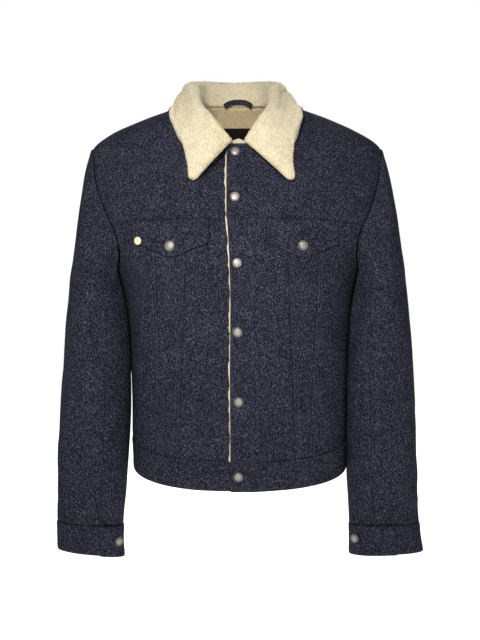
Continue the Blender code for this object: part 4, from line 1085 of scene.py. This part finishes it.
@functools.cache
def metal_finish(name, colour):
    """Metal with darker, rougher tarnish in patches; on a ringed cap its colour is also darkened from the
    groove out to the rim as painted shade. The cap's own first coordinate runs from 0 at its middle to 1 at
    its rim."""
    roughness, dull, ring, shine = METALS[name]
    finish = Finish(name, colour, roughness, Metallic=shine)
    worn = finish.steps(finish.noise(420, 4.0, 0.6), 0.35, 0.7)
    bare = finish.blend(worn, tuple(dull * v for v in colour), colour)
    out = finish.add("ShaderNodeSeparateXYZ", inputs={"Vector": finish.place(kind="UV")})
    # Painted shade: the cap's colour darkens from the groove out over the rim.
    finish.set("Base Color", finish.blend(finish.steps(out, 0.45, 0.72) * ring, bare,
                                          tuple(0.25 * v for v in colour)))
    finish.set("Roughness", roughness + 0.2 - 0.2 * worn)
    finish.bump(worn, 0.00015, 0.4)
    return finish.material


@functools.cache
def label_finish():
    """Close dark brown weave with fine ribs; its colour is darkened to near black as painted shade deep inside
    the neck.
    """
    finish = Finish("label_cloth", (0.007, 0.0035, 0.0025), 0.8, Specular_IOR_Level=0.15)
    threads = finish.add("ShaderNodeTexWave", {"bands_direction": "X"},
                         {"Vector": finish.place(kind="UV"), "Scale": 600.0}, output=1)
    # Painted shade on a dark brown label: its threads are taken down to near black.
    finish.set("Base Color", finish.blend(threads, (0.005, 0.0025, 0.002), (0.011, 0.0055, 0.004)))
    finish.bump(threads, 0.0002, 0.4)
    return finish.material


# ---------------------------------------------------------------- stitching

STITCHES = []          # rows of (line, normals) waiting to be sewn


def inset_line(outer, normals, edge, distance):
    """Line on a grid at a distance in from one of its edges: 0 low column, 1 high column, 2 low row, 3 high
    row. It is interpolated along each column or row."""
    grid, facing = (outer, normals) if edge < 2 else (outer.swapaxes(0, 1), normals.swapaxes(0, 1))
    if edge % 2:
        grid, facing = grid[::-1], facing[::-1]
    way = np.cumsum(np.linalg.norm(np.diff(grid, axis=0), axis=-1), axis=0)
    way = np.concatenate([np.zeros_like(way[:1]), way])
    i = np.clip((way < distance).sum(axis=0), 1, len(way) - 1)
    column = np.arange(grid.shape[1])
    span = np.maximum(way[i, column] - way[i - 1, column], 1e-6)
    s = np.clip((distance - way[i - 1, column]) / span, 0, 1)[:, None]
    line = (1 - s) * grid[i - 1, column] + s * grid[i, column]
    return line, unit((1 - s) * facing[i - 1, column] + s * facing[i, column])


def sew(outer, normals, seams):
    """Keeps the rows of topstitching of a piece's seams, by edge; they are all made together at the end."""
    for edge, seam in seams:
        STITCHES.extend(inset_line(outer, normals, edge, distance) for distance in ROWS_IN[seam])


def stitch_mesh(rows, pitch, length, radius):
    """Every stitch of every row in one mesh: a bead of five rings of five points, thin at its ends and sunk
    there, laid along its row and standing half out of the cloth. All in millimetres."""
    found = []
    for line, up in rows:
        way = np.concatenate([[0], np.cumsum(np.linalg.norm(np.diff(line, axis=0), axis=-1))])
        count = max(2, int(way[-1] / pitch))
        at = (np.arange(count) + 0.5) * way[-1] / count
        found.append([])
        for run, off in ((line, -length / 2), (line, length / 2), (up, 0)):
            spot = np.clip(at + off, 0, way[-1])
            found[-1].append(np.stack([np.interp(spot, way, run[:, k]) for k in range(3)], -1))
    start, end, up = (np.concatenate(part) for part in zip(*found))
    along = end - start
    up = unit(up)
    side = unit(np.cross(along, up))
    s, girth, sink = np.array(BEAD["at"]), radius * np.array(BEAD["girth"]), radius * np.array(BEAD["rise"])
    turn = np.radians(np.arange(5) * 72.0)
    ring = (girth[:, None, None] * (np.cos(turn)[None, :, None] * side[:, None, None]
                                    + np.sin(turn)[None, :, None] * up[:, None, None]))
    middle = start[:, None] + s[:, None] * along[:, None] + sink[:, None] * up[:, None]
    points = (middle[:, :, None] + ring).reshape(-1, 3)
    index = np.arange(25).reshape(5, 5)
    wrapped = np.concatenate([index, index[:, :1]], axis=1)
    body = quads(wrapped[:-1, :-1], wrapped[:-1, 1:], wrapped[1:, 1:], wrapped[1:, :-1])
    caps = np.array([[0, 4, 3], [0, 3, 2], [0, 2, 1], [20, 21, 22], [20, 22, 23], [20, 23, 24]])
    body = np.concatenate([body[:, [0, 1, 2]], body[:, [0, 2, 3]], caps])
    faces = (body[None] + 25 * np.arange(len(start))[:, None, None]).reshape(-1, 3)
    return points, faces


def cap_profile(radius, height, dimple):
    """Profile of a pressed cap, radius against height: rounded rim, shallow ring groove, domed middle."""
    r, h = np.array(CAP_PROFILE["out"]), np.array(CAP_PROFILE["high"])
    h = np.where(r < 0.5, h - dimple * (1 - (r / 0.5) ** 2), h)
    return radius * r, height * h


def cap_mesh(place, normal, size, dimple):
    """The profile turned round the normal, closed under its foot: a point lies at the place + radius times
    (cos(turn) side + sin(turn) other) + height times the normal."""
    steps = CAP_STEPS
    r, h = cap_profile(*size, dimple)
    side = unit(np.cross(normal, (0.0, 0.0, 1.0) if abs(normal[2]) < 0.9 else (1.0, 0.0, 0.0)))
    other = np.cross(normal, side)
    turn = np.linspace(0, 2 * np.pi, steps, endpoint=False)
    ring = np.cos(turn)[:, None] * side + np.sin(turn)[:, None] * other
    points = place + r[1:, None, None] * ring + h[1:, None, None] * normal
    rings = len(r) - 1
    top, foot = place + h[0] * normal, place
    index = np.arange(rings * steps).reshape(rings, steps)
    index = np.concatenate([index, index[:, :1]], axis=1)
    body = quads(index[:-1, :-1], index[1:, :-1], index[1:, 1:], index[:-1, 1:])
    top_number, foot_number = rings * steps, rings * steps + 1
    cap = np.stack([index[0, :-1], index[0, 1:], np.full(steps, top_number)], -1)
    base = np.stack([index[-1, 1:], index[-1, :-1], np.full(steps, foot_number)], -1)
    faces = np.concatenate([body[:, [0, 1, 2]], body[:, [0, 2, 3]], cap, base])
    out = np.repeat(np.concatenate([r[1:] / size[0], [0, 1]]), [steps] * rings + [1, 1])
    return np.concatenate([points.reshape(-1, 3), [top, foot]]), faces, np.stack([out, 0 * out], axis=-1)


# ---------------------------------------------------------------- making the pieces

def body_relief(points, turn):
    """Fine creases of the body's cloth, each side's faded out with cos(turn), and slight unevenness."""
    x, z = points[..., 0], points[..., 2]
    facing = np.cos(np.radians(turn))
    front = creases(FRONT_CREASES, x, z) * ramp(facing, 0.0, 0.35)
    back = creases(BACK_CREASES, x, z) * ramp(-facing, 0.0, 0.35)
    return front + back + uneven(points, "broad") + uneven(points, "fine")


def quiet_near(points, spots, reach):
    """0 at these (x, z) spots of the front, 1 further off than reach."""
    keep = 1.0
    for x, z in spots:
        off = np.hypot(points[..., 0] - x, points[..., 2] - z)
        keep = keep * np.where(points[..., 1] < 0, ramp(off, reach * 0.5, reach), 1)
    return keep


def body_cloth(name, grid, thickness, outside, edges, seams, fell=0.55, pucker=0.22, relief=1.0):
    """A fine cut piece on the body, sewn: the solid's wall, with creases, felled edges and puckers."""
    turn, z = grid[..., 0], grid[..., 1]
    normal = body_normal(turn, z)
    base = body_point(turn, z)
    surface = drawn_in(base, CLOTH_INSET)
    swell = outside(base) + relief * body_relief(base, turn) * quiet_near(base, SPOTS, QUIET)
    outer = surface + swell[..., None] * normal
    outer = outer + rolled(outer, edges, fell, pucker)[..., None] * normal
    inner = surface + (swell - thickness)[..., None] * normal
    cloth_wall(name + "_cloth", outer, inner, name)
    sew(outer, sheet_normals(outer), seams)


def flush(points):
    """No height: the piece lies on the body's surface."""
    return 0 * points[..., 0]


def outward(grid, side):
    """Columns in the order of rising turn, so that the wall's outer face points out."""
    return grid if side > 0 else grid[::-1]


class JACKET_OT_body(bpy.types.Operator):
    """Make the yokes and panels of the two fronts and the back"""
    bl_idname = "jacket.body"
    bl_label = "Body panels"

    def execute(self, context):
        for side, word in SIDES:
            first = 0 if side > 0 else 1
            felled = {"centre_front": (2, 3), "middle_front": (first,), "side_front": (first,),
                      "front_yoke": (2,)}
            seams = {"centre_front": [], "middle_front": [(first, "front_seam")],
                     "side_front": [(first, "front_seam")], "front_yoke": [(2, "front_yoke")]}
            if side > 0:
                seams["centre_front"].append((first, "placket"))
                seams["front_yoke"].append((first, "front_edge"))
            for name, grid in front_grids(side).items():
                body_cloth(f"{name}_{word}", outward(grid, side), SHELL, lap_rise(side), felled[name],
                           seams[name])
        felled = {"side_back_left": (1,), "side_back_right": (0,), "centre_back": (), "back_yoke": (2,)}
        for name, grid in back_grids().items():
            seams = [(edge, "back_seam") for edge in felled[name]]
            body_cloth(name, grid, SHELL, flush, felled[name], seams)
        return {"FINISHED"}


class JACKET_OT_waistband(bpy.types.Operator):
    """Make the two halves of the waistband, with two rows of stitching"""
    bl_idname = "jacket.waistband"
    bl_label = "Waistband"

    def execute(self, context):
        *left, _ = front_grids(1).values()
        *back, _ = back_grids().values()
        *right, _ = front_grids(-1).values()
        run = joined(*(grid[:, 0] for grid in left + back),
                     *(grid[::-1, 0] + ROUND for grid in reversed(right)))
        under = -(BAND + LAP_GAP - BAND_LAP_RISE)
        rows = np.linspace(0, 1, BAND_ROWS + 1)
        for side, word in SIDES:
            turns = (run[: len(run) // 2 + 1] if side > 0 else run[len(run) // 2:])[:, 0]
            grid = np.stack([on_hem(turns, raised * BAND_HEIGHT) for raised in rows], axis=1)

            # The left half rises over the lap. The right one sinks under it, from raised 0.3 to its top as
            # deep as the front above it.
            def rise(points, side=side):
                front_x = np.where(points[..., 1] < 0, points[..., 0], side * 200)
                if side > 0:
                    return BAND_PROUD + BAND_LAP_RISE * over_lap(front_x)
                raised = (points[..., 2] - points[:, :1, 2]) / (points[:, -1:, 2] - points[:, :1, 2])
                depth = under + (UNDERLAP - under) * ramp(raised, 0.3, 1)
                return BAND_PROUD + depth * under_lap(front_x)
            body_cloth(f"waistband_{word}", grid, BAND, rise, (2, 3), [(3, "band"), (2, "band")],
                       fell=0.3, pucker=0.3, relief=0.35)
        return {"FINISHED"}


def strip(name, points, normals, side, thickness, edges, seams, fell=0.5, pucker=0.25):
    """Fine wall of some columns of a tube, sewn, and mirrored for the right side."""
    surface = drawn_in(points, CLOTH_INSET)
    outer = surface + rolled(surface, edges, fell, pucker)[..., None] * normals
    inner = surface - thickness * normals
    outer, inner, facing = (outward(grid * (side, 1, 1), side) for grid in (outer, inner, normals))
    cloth_wall(name + "_cloth", outer, inner, name)
    sew(outer, facing, seams)


class JACKET_OT_sleeves(bpy.types.Operator):
    """Make the two-piece sleeves and their snapped cuffs"""
    bl_idname = "jacket.sleeves"
    bl_label = "Sleeves and cuffs"

    def execute(self, context):
        first, last = (seam * FINE for seam in SLEEVE_SEAMS)
        turns = LOOP_POINTS * FINE
        over, under = np.arange(last, first + turns + 1) % turns, np.arange(first, last + 1)
        for side, word in SIDES:
            front_edge, back_edge = (1, 0) if side > 0 else (0, 1)
            points, normals = sleeve_tube(side)
            seams = (2, "armhole"), (front_edge, "sleeve_front"), (back_edge, "sleeve_back")
            strip(f"top_sleeve_{word}", points[over], normals[over], side, SHELL, (2, 0, 1), seams)
            strip(f"under_sleeve_{word}", points[under], normals[under], side, SHELL, (2,), ())
            points, normals = cuff_grid(side)
            swell = uneven(points, "cuff", side)
            seams = [(edge, "band") for edge in (2, 3, back_edge)]
            strip(f"cuff_{word}", points + swell[..., None] * normals, normals, side, BAND, (0, 1, 2, 3),
                  seams, fell=0.25, pucker=0.3)
        return {"FINISHED"}


class JACKET_OT_flaps(bpy.types.Operator):
    """Make the pointed pocket flaps, each with two rows of stitching"""
    bl_idname = "jacket.flaps"
    bl_label = "Pocket flaps"

    def execute(self, context):
        for side, word in SIDES:
            corners = np.array(FLAPS[side], float)
            s = np.linspace(0, 1, FLAP_COLUMNS + 1)
            x = np.concatenate([corners[0, 0] + s * (corners[1, 0] - corners[0, 0]),
                                corners[1, 0] + s[1:] * (corners[2, 0] - corners[1, 0])])
            low_z = np.interp(side * x, side * corners[:, 0], corners[:, 1])
            low_z = low_z + FLAP_POINT[0] * np.exp(-((x - corners[1, 0]) / FLAP_POINT[1]) ** 2)
            top_z = yoke_height(x) - FLAP_TOP
            z = low_z[:, None] + np.linspace(0, 1, FLAP_ROWS + 1)[None] * (top_z - low_z)[:, None]
            grid = outward(places(turn_at_x(x[:, None] + 0 * z, z), z), side)

            # The flap stands a gap off the front, and its low edge curls up with height and away from the snap
            def outside(points, side=side):
                free = 1 - quiet_near(points, [FLAP_SNAPS[side]], FLAP_HELD)
                curl = FLAP_CURL * (1 - ramp(points[..., 2], *FLAP_CURLS)) * free
                return lap_rise(1)(points) * (side > 0) + FLAP + FLAP_GAP + FLAP_PROUD + curl
            body_cloth(f"pocket_flap_{word}", grid, FLAP, outside, (0, 1, 2),
                       [(edge, "flap") for edge in (0, 1, 2)],
                       fell=0.25, pucker=0.18, relief=0.8)
        return {"FINISHED"}


def curls(points, height, seed):
    """Relief of curly pile: the height times the sum of |small noise|, fine noise and broad noise, each by
    its share."""
    small, fine, broad = (share * cloudy(points * (1, 1, flat), size, seed + number)
                          for number, (size, flat, share) in enumerate(zip(*CURLS.values())))
    return height * (np.abs(small) + fine + broad)


def tuft_mesh(roots, normals, droop, length, width, seed):
    """Loose locks of pile, in millimetres: each a flat strip of three lengths that leans at random and
    narrows to its tip. A place s along it lies s up the normal and s^2 along the lean."""
    rng = np.random.default_rng(seed)
    count = len(roots)
    spin = rng.uniform(0, 2 * np.pi, count)
    side = unit(np.cross(normals, droop + rng.normal(0, LOCK["stray"], (count, 3))))
    other = np.cross(normals, side)
    lean = unit(np.cos(spin)[:, None] * side + np.sin(spin)[:, None] * other + LOCK["droop"] * droop)
    size = rng.uniform(*LOCK["length"], count)[:, None] * length
    reach = rng.uniform(*LOCK["reach"], count)[:, None]
    across = unit(np.cross(normals, lean))
    rows = []
    for s, wide in zip(LOCK["at"], LOCK["wide"]):
        rise = s * (1 - LOCK["sinks"] * reach * s)
        middle = roots + size * (rise * normals + reach * s * s * lean) - LOCK["root"] * normals
        rows += [middle - 0.5 * wide * width * across, middle + 0.5 * wide * width * across]
    points = np.stack(rows, axis=1)
    faces = np.array([[0, 1, 3, 2], [2, 3, 5, 4], [4, 5, 7, 6]])
    return points.reshape(-1, 3), (faces[None] + 8 * np.arange(count)[:, None, None]).reshape(-1, 4)


def scatter(points, normals, count, seed, weight=None):
    """Random places on a grid, as many to each square millimetre, or as the weight says: the four corners
    of a cell mixed by u and v."""
    rng = np.random.default_rng(seed)
    cell = cell_areas(points)
    if weight is not None:
        cell = cell * weight[:-1, :-1]
    chosen = rng.choice(cell.size, count, p=(cell / cell.sum()).ravel())
    i, j = np.unravel_index(chosen, cell.shape)
    u, v = rng.random((2, count, 1))
    mix = [(1 - u) * (1 - v), u * (1 - v), (1 - u) * v, u * v]
    spots = [(i, j), (i + 1, j), (i, j + 1), (i + 1, j + 1)]
    return (sum(w * points[at] for w, at in zip(mix, spots)),
            unit(sum(w * normals[at] for w, at in zip(mix, spots))))


class JACKET_OT_collar(bpy.types.Operator):
    """Make the pile collar with its loose locks, and the cloth collar beneath its fall"""
    bl_idname = "jacket.collar"
    bl_label = "Collar"

    def execute(self, context):
        points, thick = collar_paths()
        normals = sheet_normals(points)
        inner = points - thick[:, None, None] * normals
        inset = UNDER_COLLAR_INSET * COLLAR_FINE
        fall_row = (STAND_ROWS + ROLL_ROWS + 1) * COLLAR_ROW_FINE
        below = slice(inset, -inset, 3), slice(fall_row, None, 2)
        under = (inner - SEAM * normals)[below]
        face = drawn_in(points, COLLAR_INSET)
        nearest = np.minimum.reduce(edge_distance(face))
        relief = curls(face, sizes().curl_height / MM, SEEDS["collar"])
        relief = relief - COLLAR_THINS * quarter_round(nearest, COLLAR_RIM[0])
        outer = face + relief[..., None] * normals
        inner = inner + (0.3 * (1 - ramp(nearest, 0, COLLAR_RIM[1])))[..., None] * normals
        cloth_wall("collar_pile", outer, inner, "upper_collar", pile_finish(),
                   "cream_pile", cut=face)
        everywhere = scatter(outer, normals, sizes().tufts, SEEDS["locks"])
        at_edge = scatter(outer, normals, sizes().tufts // 2, SEEDS["edge_locks"],
                          weight=np.exp(-nearest / EDGE_THICKENS))
        roots, up = (np.concatenate(both) for both in zip(everywhere, at_edge))
        tufts = tuft_mesh(roots, up, np.array([0, 0, -1.0]), sizes().tuft_length / MM, COLLAR_LOCK,
                          SEEDS["lean"])
        settle(make_mesh("collar_locks", *tufts, pile_finish()), "cream_pile")
        cloth_wall("under_collar_cloth", under, under - UNDER_COLLAR * normals[below], "under_collar")
        return {"FINISHED"}


def whole(grids):
    """The panels and the yoke of one side of the body as one grid."""
    *panels, yoke = grids.values()
    return np.concatenate([joined(*panels), yoke[:, 1:]], axis=1)


def show_facing(lining):
    """Lean the left front's pile out past its cloth's edge, unevenly, and raise it over the placket's top."""
    z = lining[0, :, 1]
    middle, swing, least = FACING_SHOWS
    waves = cloudy(np.stack([0 * z, 0 * z, z], axis=-1), FACING_WAVE, SEEDS["facing"])
    uneven = np.clip(middle + swing * waves, least, 1)
    width = turn_at_x(free_edge(1, z) - PILE_SHOWS * uneven, z) - lining[0, :, 0]
    across = body_point(lining[:, -1, 0], lining[:, -1, 1])[:, 0]
    arch = 1 - ramp(np.abs(across - LINING["arch_x"]), 0, LINING["arch_half"])
    top = LINING["rise"] + LINING["arch"] * arch
    lining[:, -1, 1] += top * (1 - ramp(np.abs(across - LINING["x"]), *LINING["fade"]))
    fade = (1 - np.arange(FACING_COLUMNS + 1) / FACING_COLUMNS)[:, None]
    lining[:FACING_COLUMNS + 1, :, 0] += fade * width[None]


def pile_wall(name, grid, outside, seed, finish):
    """A wall whose inner, visible face carries curls: its depth is the pile's, less what curls sink, plus a
    share of them, thinner near its edges. Gives its outer face and normals."""
    turn, z = grid[..., 0], grid[..., 1]
    normal = body_normal(turn, z)
    base = body_point(turn, z)
    surface = drawn_in(base, PILE_INSET)
    outer = surface + (outside(base) - SHELL - LINING_GAP)[..., None] * normal
    sunk, share, height = PILE_CURLS
    depth = np.minimum(PILE - sunk + share * curls(surface, height, seed), PILE)
    nearest = np.minimum.reduce(edge_distance(surface))
    depth = depth - PILE_THINS[0] * (1 - ramp(nearest, 0, PILE_THINS[1]))
    cloth_wall(name + "_pile", outer, outer - depth[..., None] * normal, name, finish, "cream_pile")
    return outer, normal


class JACKET_OT_lining(bpy.types.Operator):
    """Make the pile lining of the fronts and the back"""
    bl_idname = "jacket.lining"
    bl_label = "Pile lining"

    def execute(self, context):
        fronts = []
        for side, word in SIDES:
            lining = whole(front_grids(side))
            if side > 0:
                show_facing(lining)
            lining = outward(np.concatenate([lining[:2 * FINE], lining[2 * FINE::2]]), side)
            fronts.append(pile_wall(f"front_lining_{word}", lining, lap_rise(side),
                                    SEEDS["front_pile"] + side, pile_finish()))
        # The back's pile takes a darker, browner copy of the pile colour: painted shade.
        pile_wall("back_lining", whole(back_grids())[::2], flush, SEEDS["back_pile"],
                  pile_finish("lining_pile_painted_shade", BACK_PAINTED_SHADE))
        left, facing = fronts[0]
        roots, up = scatter(left[:4], facing[:4], EDGE_LOCKS, SEEDS["facing_locks"])
        aside = unit(left[0, 10] - left[3, 10])
        tufts = tuft_mesh(roots, unit(0.35 * up + 0.9 * aside), aside, *EDGE_LOCK, SEEDS["facing_lean"])
        settle(make_mesh("front_edge_locks", *tufts, pile_finish()), "cream_pile")
        return {"FINISHED"}


class JACKET_OT_neck(bpy.types.Operator):
    """Make the bare label and the hanger loop inside the back of the neck"""
    bl_idname = "jacket.neck"
    bl_label = "Label and loop"

    def execute(self, context):
        inside = -SHELL - LINING_GAP - PILE - LABEL["off"]
        x, z = np.meshgrid(np.linspace(*LABEL["x"], 41), np.linspace(*LABEL["z"], 25), indexing="ij")
        turn = turn_at_x(x, z, back=True)
        normal, surface = body_normal(turn, z), body_point(turn, z)
        outer = surface + (inside + uneven(surface, "label"))[..., None] * normal
        cloth_wall("neck_label_cloth", outer, outer - LABEL["thick"] * normal, "neck_label",
                   label_finish(), "dark_label")
        # The loop is a strip along half an ellipse, bowed forward with x^2 and cupped with part^2
        s = np.linspace(-1, 1, 61)
        seam = body_point(np.array(180.0), neck_height(180.0))
        x = LOOP["half_span"] * s + LOOP["x"]
        y = seam[1] - LOOP["off"] - x ** 2 / LOOP["bow"]
        middle = np.stack([x, y, LOOP["foot"] + LOOP["rise"] * np.sqrt(1 - 0.98 * s * s)], axis=-1)
        lean = LOOP["lean"] * s
        across = np.stack([lean, 0 * s, np.sqrt(1 - lean ** 2)], -1) * LOOP["width"] / 2
        part = np.linspace(-1, 1, 9)
        outer = middle[:, None] + part[None, :, None] * across[:, None]
        outer[..., 1] += LOOP["cup"] * part[None] ** 2
        cloth_wall("hanger_loop_cloth", outer, outer + (0, LOOP["depth"], 0), "hanger_loop")
        sew(outer, np.zeros_like(outer) - (0, 1.0, 0), [(2, "loop"), (3, "loop")])
        return {"FINISHED"}


def on_front(x, z, outside):
    """A place this far outside the front's surface, and the normal there."""
    x, z = np.array((x, z), float)
    turn = turn_at_x(x, z)
    normal = body_normal(turn, z)
    return body_point(turn, z) + outside * normal, normal


def on_cuff(side):
    """Place and normal of the snap on the cuff's upper end, where the cuff's surface has the snap's x."""
    x, z = CUFF_SNAPS[side]
    angles = np.linspace(*CUFF_SNAP_SEARCH)
    part = (z - CUFF_SEAM) / (CUFF_END - CUFF_SEAM)
    choices = cuff_surface(side, angles, part)
    angle = angles[np.argmin(np.abs(choices[:, 0] - abs(x)))]
    around = cuff_surface(side, angle + 2, part) - cuff_surface(side, angle - 2, part)
    down = cuff_surface(side, angle, part + 0.1) - cuff_surface(side, angle, part - 0.1)
    normal = unit(np.cross(around, down))
    place = cuff_surface(side, angle, part) + (cuff_rise(side, angle, part) + CUFF_SNAP_GAP[side]) * normal
    return place * (side, 1, 1), normal * (side, 1, 1)


class JACKET_OT_snaps(bpy.types.Operator):
    """Make the snaps' pressed caps and the pale rivet"""
    bl_idname = "jacket.snaps"
    bl_label = "Snaps and rivet"

    def execute(self, context):
        snap = metal_finish("snap_metal", tuple(colours().metal)), "aged_pewter", 0.10
        rivet = metal_finish("rivet_metal", tuple(colours().rivet)), "pale_brass", 0.0
        on_flap = FLAP + FLAP_GAP + SEAM
        rows = [(f"front_snap_{number}", on_front(*spot, LAP_RISE + SEAM), SNAP, snap)
                for number, spot in enumerate(FRONT_SNAPS, 1)]
        rows.append(("front_snap_6", on_front(*BAND_SNAP, BAND_PROUD + BAND_LAP_RISE + SEAM), SNAP, snap))
        for side, word in SIDES:
            rows.append((f"flap_snap_{word}", on_front(*FLAP_SNAPS[side], on_flap), FLAP_SNAP, snap))
            rows.append((f"cuff_snap_{word}", on_cuff(side), SNAP, snap))
        rows.append(("flap_rivet", on_front(*RIVET_PLACE, on_flap), RIVET, rivet))
        for name, spot, size, (finish, slot, dimple) in rows:
            points, faces, ways = cap_mesh(*spot, size, dimple)
            settle(make_mesh(name + "_cap", points, faces, finish, ways), slot, name)
        return {"FINISHED"}


class JACKET_OT_stitching(bpy.types.Operator):
    """Sew every waiting row of topstitching"""
    bl_idname = "jacket.stitching"
    bl_label = "Topstitching"

    def execute(self, context):
        s = sizes()
        points, faces = stitch_mesh(STITCHES, s.stitch_pitch / MM, s.stitch_length / MM, s.thread / MM)
        settle(make_mesh("topstitching", points, faces, thread_finish()), "flecked_denim")
        return {"FINISHED"}


def put(name, data, place, aim):
    """A light or a camera at a place, turned to look at another."""
    holder = bpy.data.objects.new(name, data)
    bpy.context.scene.collection.objects.link(holder)
    holder.location = place
    holder.rotation_euler = (Vector(aim) - Vector(place)).to_track_quat("-Z", "Y").to_euler()
    return holder


class JACKET_OT_stage(bpy.types.Operator):
    """Make the pale floor, the soft lights and the camera"""
    bl_idname = "jacket.stage"
    bl_label = "Stage"

    def execute(self, context):
        white = Finish("studio_white", (0.9, 0.9, 0.9), 0.9, Emission_Color=(1, 1, 1, 1),
                       Emission_Strength=FLOOR_GLOW)
        half = FLOOR_HALF
        corners = np.array([(-half, -half, FLOOR), (half, -half, FLOOR), (half, half, FLOOR),
                            (-half, half, FLOOR)])
        make_mesh("floor", corners / MM, np.array([[0, 1, 2, 3]]), white.material)
        world = bpy.data.worlds.new("studio")
        context.scene.world = world
        world.use_nodes = True
        tree = world.node_tree
        seen = tree.nodes.new("ShaderNodeLightPath")
        strength = tree.nodes.new("ShaderNodeMapRange")
        strength.inputs["To Min"].default_value, strength.inputs["To Max"].default_value = SKY_LIGHT, 1.0
        tree.links.new(seen.outputs["Is Camera Ray"], strength.inputs["Value"])
        tree.links.new(strength.outputs[0], tree.nodes["Background"].inputs["Strength"])
        tree.nodes["Background"].inputs["Color"].default_value = (1, 1, 1, 1)
        context.scene.view_settings.view_transform = "Standard"
        for name, (place, size, spread, power) in LIGHTS.items():
            lamp = bpy.data.lights.new(name, "AREA")
            lamp.size, lamp.spread, lamp.energy = size, np.radians(spread), power
            put(name, lamp, place, LIGHTS_AIM)
        camera = bpy.data.cameras.new("camera")
        camera.sensor_fit, camera.sensor_height = "VERTICAL", SENSOR
        camera.lens = SENSOR * (Vector(CAMERA_AIM) - Vector(CAMERA)).length / VIEW_HEIGHT
        context.scene.camera = put("camera", camera, CAMERA, CAMERA_AIM)
        return {"FINISHED"}


OPERATORS = (JACKET_OT_stage, JACKET_OT_body, JACKET_OT_waistband, JACKET_OT_sleeves, JACKET_OT_flaps,
             JACKET_OT_lining, JACKET_OT_collar, JACKET_OT_neck, JACKET_OT_snaps, JACKET_OT_stitching)


class JACKET_PT_panel(bpy.types.Panel):
    """Lists the jacket's pieces, sizes and colours"""
    bl_label = "Jacket"
    bl_idname = "JACKET_PT_panel"
    bl_space_type = "VIEW_3D"
    bl_region_type = "UI"
    bl_category = "Jacket"

    def draw(self, context):
        for group in (context.scene.jacket_sizes, context.scene.jacket_colours):
            for name in group.__annotations__:
                self.layout.prop(group, name)
        for operator in OPERATORS:
            self.layout.operator(operator.bl_idname)


CLASSES = (JacketSizes, JacketColours, *OPERATORS, JACKET_PT_panel)


def register():
    for made in CLASSES:
        bpy.utils.register_class(made)
    bpy.types.Scene.jacket_sizes = PointerProperty(type=JacketSizes)
    bpy.types.Scene.jacket_colours = PointerProperty(type=JacketColours)


def unregister():
    del bpy.types.Scene.jacket_colours
    del bpy.types.Scene.jacket_sizes
    for made in reversed(CLASSES):
        bpy.utils.unregister_class(made)


def main():
    register()
    for operator in OPERATORS:
        group, name = operator.bl_idname.split(".")
        getattr(getattr(bpy.ops, group), name)()


if __name__ == "__main__":
    main()
